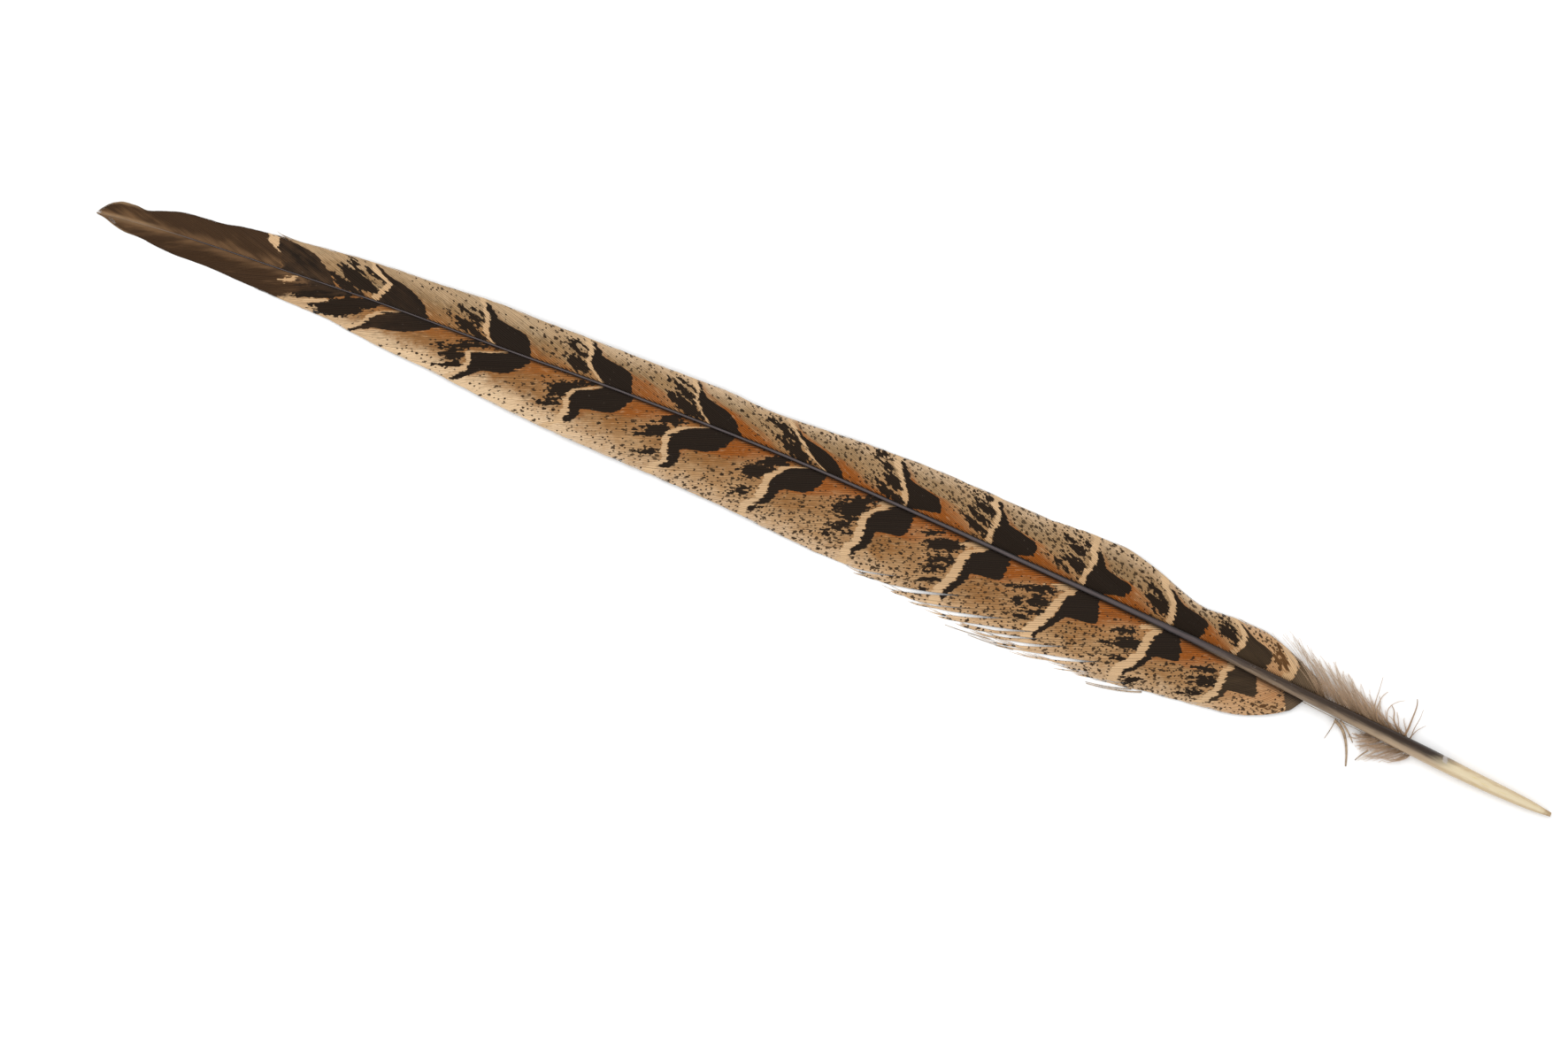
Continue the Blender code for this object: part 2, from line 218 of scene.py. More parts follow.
# Guides for the down: root, middle and tip of a barb as d and w, the length of its barbules, its thickness.
NARROW_TUFT = (
    (233.2, 1.1, 228.6, 4.3, 221.6, 7.4, 0.45, 0.085),
    (234.6, 1.1, 230.0, 5.2, 224.0, 8.7, 0.55, 0.085),
    (236.2, 1.1, 231.8, 4.8, 226.5, 8.1, 0.65, 0.085),
    (238.0, 1.1, 233.6, 4.3, 228.7, 7.6, 0.80, 0.085),
    (239.5, 1.1, 235.2, 3.9, 230.4, 6.9, 0.90, 0.085),
    (241.0, 1.2, 236.8, 3.9, 232.2, 7.4, 0.95, 0.085),
    (242.3, 1.2, 238.3, 3.8, 234.2, 7.5, 0.95, 0.085),
    (243.6, 1.2, 239.8, 3.6, 236.0, 7.8, 0.95, 0.085),
    (244.8, 1.2, 241.2, 3.1, 237.5, 6.9, 0.95, 0.085),
    (246.0, 1.2, 242.6, 2.8, 239.0, 6.0, 0.90, 0.085),
    (247.2, 1.2, 244.2, 2.5, 240.8, 5.2, 0.80, 0.085),
    (249.0, 1.3, 246.6, 2.2, 243.4, 4.3, 0.65, 0.075),
    (251.6, 1.3, 249.8, 2.0, 247.2, 3.6, 0.50, 0.07),
)
BROAD_TUFT = (
    (244.8, 1.2, 243.3, 1.8, 241.7, 2.4, 0.80, 0.075),
    (246.6, 1.3, 244.9, 2.6, 242.8, 3.7, 0.90, 0.075),
    (248.6, 1.3, 246.4, 2.9, 243.7, 4.6, 0.90, 0.075),
    (250.6, 1.3, 248.0, 3.4, 244.6, 6.2, 0.80, 0.075),
    (252.0, 1.2, 249.6, 3.3, 246.6, 5.0, 0.70, 0.075),
    (253.0, 1.2, 251.6, 2.5, 249.6, 3.7, 0.60, 0.075),
)
TWIGS = (
    (244.6, 1.4, 243.5, 4.4, 243.2, 9.1, 0.55, 0.22),
    (245.3, 1.4, 244.1, 4.2, 245.2, 7.2, 1.00, 0.24),
    (246.6, 1.4, 245.0, 3.3, 243.8, 5.6, 0.95, 0.18),
    (247.6, 1.4, 246.2, 4.4, 248.2, 6.8, 0.80, 0.18),
    (249.4, 1.4, 247.7, 3.4, 246.7, 5.4, 0.45, 0.34),
    (250.5, 1.4, 250.8, 4.8, 250.2, 8.1, 0.35, 0.44),
    (250.2, 1.4, 248.6, 2.9, 248.0, 4.6, 0.85, 0.14),
    (251.8, 1.4, 251.8, 4.4, 252.2, 7.2, 0.45, 0.16),
    (251.6, 1.3, 252.2, 2.8, 253.4, 4.5, 0.45, 0.16),
    (251.0, 1.3, 250.2, 2.6, 249.6, 4.2, 0.85, 0.12),
)
# Single barbs: side, start, middle and end as d and w, thickness, and the heights of both ends.
LOOSE_PAIR = (
    (BROAD, 238.0, 1.75, 240.9, 3.6, 243.1, 8.2, 0.62, 1.0, 0.1),
    (BROAD, 238.9, 1.3, 240.8, 2.4, 242.6, 3.9, 0.40, 1.5, 0.6),
    (BROAD, 238.1, 1.3, 238.1, 3.0, 237.7, 5.4, 0.22, 1.1, 0.1),
    (BROAD, 245.7, 3.9, 244.9, 5.1, 244.2, 6.5, 0.30, 0.5, 0.2),
)
STRAY = (
    (BROAD, 231.4, 1.25, 238.0, 1.40, 245.2, 1.45, 0.12, 1.3, 0.9),
    (BROAD, 204.5, 12.3, 200.2, 13.9, 194.8, 15.1, 0.26, 0.2, 0.15),
    (BROAD, 202.6, 12.6, 199.0, 13.9, 194.5, 14.9, 0.20, 0.2, 0.15),
    (BROAD, 176.0, 15.0, 171.5, 15.6, 167.5, 16.0, 0.16, 0.2, 0.1),
    (BROAD, 180.5, 15.0, 176.0, 15.6, 172.0, 15.9, 0.16, 0.2, 0.1),
    (NARROW, 34.6, 5.5, 32.6, 5.75, 31.0, 6.2, 0.14, 0.15, 0.35),
    (NARROW, 35.6, 5.7, 33.4, 5.8, 31.8, 5.95, 0.12, 0.15, 0.30),
)


# ---------------------------------------------------------------- curves


def through(table, column, at):
    """A smooth curve through one column of a table, which never swings past its own points."""
    return curve([row[0] for row in table], [row[column] for row in table], at)


def curve(x, y, at):
    """A cubic through the points whose slope at each is the harmonic mean of its neighbours', or level."""
    x, y = np.array(x, float), np.array(y, float)
    at = np.clip(np.asarray(at, float), x[0], x[-1])
    step = np.diff(x)
    slope = np.diff(y) / step
    same_way = slope[:-1] * slope[1:] > 0
    middle = np.zeros(len(slope) - 1)
    middle[same_way] = 2 / (1 / slope[:-1][same_way] + 1 / slope[1:][same_way])
    tangent = np.concatenate([slope[:1], middle, slope[-1:]])
    k = np.clip(np.searchsorted(x, at, side="right") - 1, 0, len(step) - 1)
    h = step[k]
    t = (at - x[k]) / h
    return (
        (2 * t**3 - 3 * t**2 + 1) * y[k]
        + (t**3 - 2 * t**2 + t) * h * tangent[k]
        + (3 * t**2 - 2 * t**3) * y[k + 1]
        + (t**3 - t**2) * h * tangent[k + 1]
    )


def eased(low, high, x):
    """0 below low, 1 above high, and a smooth step between."""
    t = np.clip((x - low) / (high - low), 0, 1)
    return t * t * (3 - 2 * t)


def shaft_bow(d):
    return through(SHAFT, 1, d)


def shaft_half_width(d):
    return through(SHAFT, 2, d) / 2


def shaft_depth(d):
    return through(SHAFT, 3, d)


def shaft_under(d):
    return through(SHAFT, 4, d)


def web_height(d, out):
    """A vane's height: level with the barbs' roots beside the shaft, bending down to its edge at out = 1."""
    top = shaft_under(d) + DEEPEST * shaft_depth(d)
    near, far = EDGE_DOWN_AT
    low = EDGE_RISE * np.sin(math.pi * (d - near) / (far - near)) ** 2
    return top + (low - top) * np.clip(out, 0, 1.1) ** DROOP_POWER


_along = np.linspace(0, LENGTH, 2801)
_, _shaft_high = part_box("shaft")
SIDEWAYS = (shaft_bow(_along) + shaft_half_width(_along)).max() - _shaft_high.y / MM
START = CAD_BOX[0].x / MM


def placed(d, y, z):
    """Points given by distance from the tip, sideways place and height, in metres in the frame."""
    return np.stack([(d + START) * MM, (y - SIDEWAYS) * MM, z * MM], -1)


# ---------------------------------------------------------------- meshes


SHARP_ANGLE = 75.0  # degrees between faces beyond which an edge shows as sharp


def strand_faces(groups):
    """Each face's corners and size, and the bake map at its corners.

    Four-sided faces join each ring to the next, and a face closes each end.
    """
    corners, sizes, maps = [], [], []
    first_vertex = 0
    for points, _, (u, v) in groups:
        strands, stations, sides = points.shape[:3]
        index = first_vertex + np.arange(strands * stations * sides).reshape(strands, stations, sides)
        first_vertex += index.size
        near, far = index[:, :-1], index[:, 1:]
        walls = np.stack([near, far, np.roll(far, -1, 2), np.roll(near, -1, 2)], -1)
        corners += [walls.ravel(), index[:, 0].ravel(), index[:, -1, ::-1].ravel()]
        sizes += [np.full(walls[..., 0].size, 4), np.full(2 * strands, sides)]
        uv = np.stack(np.broadcast_arrays(u, v), -1)
        a, b = uv[:, :-1], uv[:, 1:]
        maps.append(np.stack([a[:, :, :-1], b[:, :, :-1], b[:, :, 1:], a[:, :, 1:]], -2))
        maps += [uv[:, 0, :-1], uv[:, -1, -2::-1]]
    bake_map = np.concatenate([part.ravel() for part in maps])
    return np.concatenate(corners), np.concatenate(sizes), bake_map


def add_strands(name, groups, finish, nodes=()):
    """A piece made of closed strands.

    A group is points, attributes and a bake map, each over strand, station and ring. An attribute has a last
    axis of 3. The bake map has one more ring point, which closes the ring.
    """
    corners, sizes, bake_map = strand_faces(groups)
    starts = np.concatenate([[0], np.cumsum(sizes)[:-1]])
    places = np.concatenate([points.ravel() for points, _, _ in groups])

    mesh = bpy.data.meshes.new(name)
    mesh.vertices.add(places.size // 3)
    mesh.vertices.foreach_set("co", places.astype(np.float32))
    mesh.loops.add(len(corners))
    mesh.loops.foreach_set("vertex_index", corners.astype(np.int32))
    mesh.polygons.add(len(sizes))
    mesh.polygons.foreach_set("loop_start", starts.astype(np.int32))
    mesh.update(calc_edges=True)
    for label in groups[0][1]:
        values = np.concatenate([attributes[label].ravel() for _, attributes, _ in groups])
        made = mesh.attributes.new(label, "FLOAT_VECTOR", "POINT")
        made.data.foreach_set("vector", values.astype(np.float32))
    mesh.uv_layers.new(name="OFBake").uv.foreach_set("vector", bake_map.astype(np.float32))
    mesh.shade_smooth()
    mesh.set_sharp_from_angle(angle=math.radians(SHARP_ANGLE))
    mesh.materials.append(finish)

    piece = bpy.data.objects.new(name, mesh)
    bpy.context.scene.collection.objects.link(piece)
    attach(piece, "root")
    if nodes:
        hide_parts(*nodes)


# ---------------------------------------------------------------- materials


LIGHT = 1.22  # how much brighter than its own colour the light shows a level surface
SHEEN = 0.014  # what a dull surface mirrors of the surroundings, as a share of full white


def tone(red, green, blue):
    """The linear base colour that shows as the given one, from 0 to 255, under the studio's light."""
    shown = np.array([red, green, blue]) / 255
    linear = np.where(shown > 0.04045, ((shown + 0.055) / 1.055) ** 2.4, shown / 12.92)
    base = np.clip((linear - SHEEN) / LIGHT, 0.001, 0.95)
    return (*(float(x) for x in base), 1.0)


class Number:
    """A socket that holds one number. Python's operators on it add Math nodes."""

    def __init__(self, paint, socket):
        self.paint = paint
        self.socket = socket

    def math(self, operation, first, second):
        node = self.paint.node("Math", {"operation": operation}, {0: first, 1: second})
        return Number(self.paint, node.outputs[0])

    def __add__(self, other):
        return self.math("ADD", self, other)

    __radd__ = __add__

    def __mul__(self, other):
        return self.math("MULTIPLY", self, other)

    __rmul__ = __mul__

    def __sub__(self, other):
        return self.math("SUBTRACT", self, other)

    def __rsub__(self, other):
        return self.math("SUBTRACT", other, self)

    def least(self, other):
        return self.math("MINIMUM", self, other)

    def most(self, other):
        return self.math("MAXIMUM", self, other)

    def size(self):
        return self.math("ABSOLUTE", self, 0.0)

    def between(self, low, high):
        """0 where the number is low, 1 where it is high, eased between; low may be the greater."""
        settings = {"interpolation_type": "SMOOTHSTEP"}
        node = self.paint.node("MapRange", settings, {0: self, 1: low, 2: high, 3: 0.0, 4: 1.0})
        return Number(self.paint, node.outputs[0])


class Paint:
    """One material's nodes. Constants go straight onto the shader's sockets."""

    def __init__(self, name, **constants):
        self.material = bpy.data.materials.new(name)
        self.material.use_nodes = True
        self.tree = self.material.node_tree
        self.shader = self.tree.nodes["Principled BSDF"]
        for label, value in constants.items():
            self.shader.inputs[label.replace("_", " ")].default_value = value

    def node(self, kind, settings, inputs):
        """Adds a node of that type, with its settings made first and its sockets set or linked."""
        node = self.tree.nodes.new("ShaderNode" + kind)
        for label, value in settings.items():
            setattr(node, label, value)
        for label, value in inputs.items():
            self.feed(node.inputs[label], value)
        return node

    def feed(self, socket, value):
        value = value.socket if isinstance(value, Number) else value
        if isinstance(value, bpy.types.NodeSocket):
            self.tree.links.new(value, socket)
        else:
            socket.default_value = value

    def parts(self, attribute):
        """The three numbers of a vector attribute of the mesh."""
        read = self.node("Attribute", {"attribute_name": attribute}, {})
        split = self.node("SeparateXYZ", {}, {0: read.outputs["Vector"]})
        return [Number(self, output) for output in split.outputs]

    def noise(self, x, y, z=0.0, detail=2.0, rough=0.5):
        """Smooth noise about 0, mostly within a quarter, with one bump for each unit of x, y and z."""
        where = self.node("CombineXYZ", {}, {0: x, 1: y, 2: z})
        values = {"Vector": where.outputs[0], "Scale": 1.0, "Detail": detail, "Roughness": rough}
        return Number(self, self.node("TexNoise", {}, values).outputs[0]) - 0.5

    def specks(self, x, y, share, most):
        """1 inside crisp specks. Each unit cell of x and y may hold one, and share of the cells do."""
        where = self.node("CombineXYZ", {}, {0: x, 1: y})
        values = {"Vector": where.outputs[0], "Scale": 1.0}
        cells = self.node("TexVoronoi", {"voronoi_dimensions": "2D"}, values)
        pick = self.node("SeparateColor", {}, {0: cells.outputs["Color"]})
        radius = ((share - Number(self, pick.outputs[0])) * 1.2).least(most)
        return (radius - Number(self, cells.outputs["Distance"])).between(-0.02, 0.07)

    def mix(self, first, second, share):
        """The first colour where share is 0 and the second where it is 1."""
        node = self.node("Mix", {"data_type": "RGBA"}, {0: share, 6: first, 7: second})
        return node.outputs[2]

    def shade(self, colour, strength):
        """A colour made darker or lighter."""
        node = self.node("VectorMath", {"operation": "SCALE"}, {0: colour, "Scale": strength})
        return node.outputs[0]

    def bump(self, height, strength, depth):
        """Relief that is depth mm deep where height is 1."""
        values = {"Height": height, "Strength": strength, "Distance": depth * MM}
        node = self.node("Bump", {}, values)
        self.feed(self.shader.inputs["Normal"], node.outputs[0])


# ---------------------------------------------------------------- the two vanes


FAR = 40.0  # stands for no mark nearby
LOBE_ROUNDING = 1.1  # how much sooner a black lobe ends at its shoulder
BESIDE_SHAFT = 1.3  # how far out the black's sooner end beside the shaft reaches


def marks(d, w, stations, bars, eyes, blots, lean):
    """How far each point is from the markings, in mm, below zero inside them.

    Along the feather, black runs from each bar's line to its end, which steps back to a narrow tail beyond
    the shoulder. Cream runs from the line towards the tip. The eye marks and the cream blots are ellipses
    that lean as barbs do. The last of the four is the distance past the nearest black patch.
    """
    black = np.full(d.shape, FAR)
    cream = np.full(d.shape, FAR)
    after = np.full(d.shape, FAR)
    for line, end_in, end_out, shoulder, tail, tail_end, width, sooner in bars:
        start = curve(stations, line, w)
        past = d - start
        rounding = LOBE_ROUNDING * np.clip(w / shoulder, 0, 1.2) ** 6
        rounding = rounding + sooner * np.clip(1.25 - w / BESIDE_SHAFT, 0, 1)
        lobe = end_in + (end_out - end_in) * np.clip(w / shoulder, 0, 1) ** 1.5 - start - rounding
        thin = tail * (1 - 0.6 * np.clip((w - shoulder) / (tail_end - shoulder), 0, 1))
        length = lobe + (thin - lobe) * eased(shoulder - 0.2, shoulder + 0.9, w)
        black = np.minimum(black, np.maximum(np.maximum(-past, past - length), w - tail_end))
        cream_width = width * (0.67 + 0.04 * np.minimum(w, 8))
        cream = np.minimum(cream, np.maximum(past, -cream_width - past))
        gone = past - length
        after = np.minimum(after, np.where(gone > -0.5, np.maximum(gone, 0), FAR))
    turn = math.radians(lean)

    def nearest(ellipses):
        found = np.full(d.shape, FAR)
        for far, out, long, broad in ellipses:
            along = -(d - far) * math.cos(turn) + (w - out) * math.sin(turn)
            cross = (d - far) * math.sin(turn) + (w - out) * math.cos(turn)
            found = np.minimum(found, (np.hypot(along / long, cross / broad) - 1) * max(broad, 0.5))
        return found

    return black, np.minimum(cream, nearest(blots)), nearest(eyes), after


def spaced(steps):
    """Places along the shaft whose spacing follows a table of place and step."""
    at, step = zip(*steps)
    fine = np.linspace(at[0], at[-1], 4000)
    passed = np.concatenate([[0], np.cumsum((fine[1] - fine[0]) / np.interp(fine[1:], at, step))])
    return np.interp(np.arange(int(passed[-1]) + 1), passed, fine)


def swayed(rng, count, span):
    """Random numbers about 0 that change slowly along a row: a moving mean of white noise."""
    noise = rng.normal(0, 1, count + 4 * span)
    window = np.hanning(2 * span + 1)
    window = window / np.sqrt((window**2).sum())
    return np.convolve(noise, window, "same")[2 * span : 2 * span + count]


LONGEST_BARB = 90.0  # how far each barb is followed from its root
REACHES = 700  # points along it
ROOT_INSET = ((10.0, 45.0), (0.4, 0.75))  # places along the shaft, and the share of its half width there
EDGE_SLIDE = 0.6  # how far past the edge a barb would have gone when it ends
EDGE_SOFTNESS = 0.22
PARTING_REACH = 1.5  # how fast a parting's push dies away along the edge
PARTING_OUT, PARTING_IN = 0.36, 0.64  # shares of a parting's width on its quill side and its tip side


def barb_paths(side, edge, root, angle):
    """Where each barb runs, over barb and reach, and the length at which it has crossed the edge.

    A barb starts inside the shaft's side and adds up small steps at its own angle. It turns a little towards
    the tip in its outer quarter, and near the quill it also loses a share of its lean.
    """
    reach = np.linspace(0, LONGEST_BARB, REACHES)[None, :]
    small = reach[0, 1]
    inner = (shaft_half_width(root) * np.interp(root, *ROOT_INSET))[:, None]

    def path(turned):
        d = root[:, None] - np.cumsum(np.cos(turned), 1) * small + np.cos(turned[:, :1]) * small
        y = inner + np.cumsum(np.sin(turned), 1) * small - np.sin(turned[:, :1]) * small
        y = y + side * shaft_bow(root)[:, None]
        return d, y - side * shaft_bow(d)

    def crossing(d, w, margin):
        outside = (w > through(edge, 1, d) + margin) & (reach > 0.2) | (d < 0.15)
        return reach[0, np.maximum(outside.argmax(1), 3)][:, None]

    straight = crossing(*path(np.broadcast_to(angle, (len(root), REACHES))), 0.0)
    curl = np.interp(root, *zip(*CURL))[:, None]
    tipward = 1 - 0.4 * eased(0.7, 1.1, reach / straight)
    heading = angle * tipward * (1 - curl * eased(0.0, CURL_LENGTH, reach))
    d, w = path(heading)
    return reach[0], d, w, heading, crossing(d, w, EDGE_SLIDE)


def space_filled(d_all, w_all, d, w):
    """The space a barb fills: half of what lies between its two neighbours at the same distance out."""
    count = len(d)
    before = [max(i - 1, 0) for i in range(count)]
    behind = [min(i + 1, count - 1) for i in range(count)]
    low = np.stack([np.interp(w[i], w_all[before[i]], d_all[before[i]]) for i in range(count)])
    high = np.stack([np.interp(w[i], w_all[behind[i]], d_all[behind[i]]) for i in range(count)])
    shared = (np.array(behind) - np.array(before))[:, None]
    slope = np.arctan2(np.gradient(w, axis=1), -np.gradient(d, axis=1))
    return (high - low) / shared * np.sin(slope)


def parted(d, w, share, heading, partings):
    """Barbs drawn apart at each parting, towards the tip on one side of it and the quill on the other.

    A parting widens evenly from where it opens to the barbs' ends.
    """
    end = d[:, -1:]
    moved = np.zeros(d.shape)
    for place, width, opens in partings:
        apart = end - place
        push = np.where(apart > 0, PARTING_OUT, -PARTING_IN) * width
        push = push * np.exp(-np.abs(apart) / PARTING_REACH)
        moved = moved + push * np.clip((share - opens) / (1 - opens), 0, 1)
    return d + moved * np.sin(heading), w + moved * np.cos(heading)


def lay_barbs(side, edge, steps, lean, stations, partings, ragged, rng):
    """The middle line of each barb of a vane, over barb and station, and the space that it fills.

    Close to the vane's edge a barb bends along it: its distance out is the edge's, less a soft limit of what
    is left. ragged gives how uneven the barbs' ends are, by distance from the tip.
    """
    root = spaced(steps)
    count = len(root)
    root = root + rng.uniform(-0.06, 0.06, count) * np.gradient(root)
    angle = through(lean, 1, root) + 0.30 * swayed(rng, count, 6) + rng.normal(0, 0.06, count)
    reach, d_all, w_all, turned, length = barb_paths(side, edge, root, np.radians(angle)[:, None])

    share = np.linspace(0, 1, stations)[None, :]
    run = share * length
    d = np.stack([np.interp(run[i], reach, d_all[i]) for i in range(count)])
    w = np.stack([np.interp(run[i], reach, w_all[i]) for i in range(count)])
    heading = np.stack([np.interp(run[i], reach, turned[i]) for i in range(count)])
    gap = space_filled(d_all, w_all, d, w)

    uneven = np.interp(d[:, -1], *zip(*ragged)) * rng.normal(0, 1, count)
    shorter = 1 - 0.012 * rng.uniform(0, 1, count) + np.minimum(uneven, 0.06)
    outer = through(edge, 1, d) * shorter[:, None]
    left = (outer - w) / EDGE_SOFTNESS
    w = outer - EDGE_SOFTNESS * np.logaddexp(0, left)
    gap = gap / (1 + np.exp(-left))
    d, w = parted(d, w, share, heading, partings)
    return d, w, run, share, gap


# A barb's ring, from its quill side over the ridge and back underneath: places across as shares of its half
# width, heights in mm, and where it is the underside.
PROFILE_ACROSS = np.array([-1.0, -0.42, 0.0, 0.42, 1.0, 0.0])
PROFILE_UP = np.array([0.0, 0.06, 0.10, 0.06, 0.0, -0.045])
PROFILE_UNDER = np.array([0.0, 0.0, 0.0, 0.0, 0.0, 1.0])
WEB_LIFT = 0.10  # how far a barb's sides lie above the vane's own surface
OVERLAP = 0.62  # a barb's half width as a share of the space that it fills
FRAYED_LOW = 0.65  # how much lower the frayed edge lies, as a share of its height


def vane_height(side, d, w, out, plump, lift, seed):
    """How high a vane's points lie: the web's own height, a slow wave, each barb's lift, and its profile."""
    wave = 0.05 * np.sin(d * 0.55 + 2.0 * out + seed) + 0.05 * np.sin(d * 0.21 + 1.3 * seed)
    z = web_height(d, out) + (wave + lift) * eased(0.0, 0.4, out)
    if side == BROAD:
        frayed = eased(140.0, 152.0, d) * eased(200.0, 188.0, d)
        z = z * (1 - FRAYED_LOW * frayed * eased(0.45, 0.80, out))
    thin_shaft = np.clip(shaft_depth(d) / 0.7, 0.15, 1) + 0.6 * eased(0.3, 1.5, w)
    tilt = 0.03 * PROFILE_ACROSS[None, None, :] * plump
    z = z + (WEB_LIFT + PROFILE_UP * plump + tilt) * np.minimum(thin_shaft, 1)
    return np.maximum(z, 0.03 + 0.02 * PROFILE_UP / 0.1)


def barb_map(count, share):
    """A vane's bake map: a row for each barb, in two columns, with the ring's points across the row."""
    number = np.arange(count)[:, None, None]
    rows = math.ceil(count / 2)
    across = np.array([0, 0.13, 0.27, 0.41, 0.56, 0.70, 0.84]) / rows
    u = (number // rows) * 0.5 + 0.004 + 0.488 * share[:, :, None]
    return u, (number % rows + 0.08) / rows + across[None, None, :]


def build_vane(name, side, edge, steps, lean, stations, partings, ragged, marking, finish, node, seed):
    """A vane: one closed ribbon for each barb, with a ridge along its middle and a thin flange each side."""
    rng = np.random.default_rng(seed)
    d, w, run, share, gap = lay_barbs(side, edge, steps, lean, stations, partings, ragged, rng)
    count = len(d)
    remaining = (1 - share) * run[:, -1:]
    half = OVERLAP * np.maximum(gap, 0.06) * eased(-0.3, 1.3, remaining) * (0.8 + 0.2 * eased(0, 1.2, run))
    half = np.maximum(half, 0.012)

    along_d = np.gradient(d, axis=1)
    along_w = np.gradient(w, axis=1)
    long = np.hypot(along_d, along_w)
    normal_d, normal_w = along_w / long, -along_d / long  # points out from the shaft and towards the quill
    across = PROFILE_ACROSS[None, None, :]
    ring_d = d[:, :, None] + half[:, :, None] * across * normal_d[:, :, None]
    ring_w = w[:, :, None] + half[:, :, None] * across * normal_w[:, :, None]
    ring_half = shaft_half_width(ring_d)
    ring_out = (ring_w - ring_half) / np.maximum(through(edge, 1, ring_d) - ring_half, 0.3)
    shift = rng.normal(0, 0.10, (count, 1, 1))
    black, cream, eye, after = marks(ring_d + shift, ring_w, *marking)

    lift = rng.normal(0, 0.012, (count, 1, 1))
    plump = np.clip(half / np.maximum(half.max(1, keepdims=True), 1e-6), 0.15, 1)[:, :, None]
    z = vane_height(side, ring_d, ring_w, ring_out, plump, lift, seed)
    # The ring runs the other way on the other side of the shaft, so that faces point out on both.
    turned = slice(None, None, -1) if side > 0 else slice(None)
    points = placed(ring_d, shaft_bow(ring_d) + side * ring_w, z)[:, :, turned]

    def spread(*values):
        full = [np.broadcast_to(np.asarray(v, float), points.shape[:3]) for v in values]
        return np.stack(full, -1)

    number = np.arange(count)[:, None, None]
    stray = rng.uniform(0, 1, (count, 1, 1))
    attributes = {
        "place": spread(run[:, :, None], number, PROFILE_ACROSS[turned]),
        "marks": spread(*(mark[:, :, turned] for mark in (black, cream, eye))),
        "reach": spread(*(place[:, :, turned] for place in (ring_d, ring_w, ring_out))),
        "other": spread(after[:, :, turned], stray, PROFILE_UNDER[turned]),
    }
    add_strands(name, [(points, attributes, barb_map(count, share))], finish, (node,))


# ---------------------------------------------------------------- the vanes' colours

INK = tone(48, 41, 36)
EYE_INK = tone(50, 42, 36)
EYE_BROWN = tone(106, 76, 50)
INK_BROWN = tone(74, 61, 48)
INK_DUSKY = tone(104, 87, 69)
INK_NEAR_TIP = tone(92, 70, 52)
INK_SHEEN = tone(104, 94, 84)
SPECKLE = tone(56, 45, 36)
RUST = tone(152, 87, 40)
GREY_BUFF = tone(148, 130, 102)
PINK_BUFF = tone(203, 157, 114)
HALO = tone(188, 150, 108)
MOTTLE_DARK = tone(108, 84, 60)
MOTTLE_PALE = tone(206, 172, 134)
EDGE_PALE = tone(222, 193, 160)
EDGE_PALE_NEAR_TIP = tone(238, 208, 170)
CREAM_IN = tone(198, 160, 118)
CREAM_OUT = tone(213, 180, 141)
TIP_BROWN = tone(72, 55, 42)
TIP_LIGHTER = tone(113, 86, 62)
TIP_RIM_DARK = tone(68, 52, 40)
TIP_RIM_PALE = tone(160, 131, 100)
ROOT_DARK_AND_SHADE = tone(46, 39, 35)
UNDERSIDE = tone(150, 132, 110)

SLANT = math.radians(20.0)  # a barb's usual lean
BARB_STEP = 0.34  # how far a mark's edge may step from one barb to the next


class Web:
    """What a vane's colours are worked out from: its mesh's attributes, and noise.

    along and cross are lengths along the barbs and across them. Each barb has its own step, by which it
    shifts the marks' edges.
    """

    def __init__(self, paint, seed):
        self.paint = paint
        self.seed = seed
        self.run, self.barb, self.across = paint.parts("place")
        black, cream, eye = paint.parts("marks")
        self.d, self.w, self.out = paint.parts("reach")
        self.after, self.stray, self.under = paint.parts("other")
        self.step = BARB_STEP * (self.stray - 0.5)
        self.black, self.cream, self.eye = black + self.step, cream - self.step, eye + self.step
        self.along = self.w * math.sin(SLANT) - self.d * math.cos(SLANT)
        self.cross = self.d * math.sin(SLANT) + self.w * math.cos(SLANT)
        self.ragged = self.barb_noise(1.2, 1.7, 0.0, 3.0)
        self.dashes = self.barb_noise(0.58, 1.25, 3.0)
        self.fine = self.barb_noise(1.9, 2.8, 9.0, 1.0)
        self.streaks = self.barb_noise(0.13, 0.9, 11.0, 3.0)
        self.broad = paint.noise(self.d * 0.16, self.w * 0.30, seed + 7.0, 2.0)
        self.patchy = paint.noise(self.d * 0.45, self.w * 0.6, seed + 8.0, 3.0)
        self.maturity = self.d.between(60.0, 125.0)
        self.young = self.d.between(112.0, 75.0)
        self.near_tip = self.d.between(66.0, 44.0)

    def barb_noise(self, along, cross, layer, detail=2.0, rough=0.5):
        """Noise with so many bumps for each mm along the barbs and across them."""
        return self.paint.noise(self.along * along, self.cross * cross, self.seed + layer, detail, rough)

    def uneven(self, distance):
        """A distance from a mark, moved in and out along the barbs."""
        return distance + 1.1 * self.ragged + 0.5 * self.fine


def rust_share(web, narrow_dim):
    """Where the ground is rust: beside the shaft, widest just after each black patch, least near the tip."""
    width = 5.7 - 1.1 * narrow_dim - 2.4 * web.d.between(112.0, 72.0) - 0.46 * web.after
    rust = (width - web.w + 5.0 * web.broad + 5.0 * web.streaks).between(-0.9, 1.3)
    rust = rust * (0.30 + 0.70 * web.maturity)
    beside_black = web.after.between(1.5, 0.1) * web.w.between(8.0, 5.5)
    beside_black = beside_black * (0.95 - 0.6 * narrow_dim) * (0.2 + 0.8 * web.maturity)
    return rust.most(beside_black) * (1.0 - 0.60 * web.d.between(212.0, 221.0))


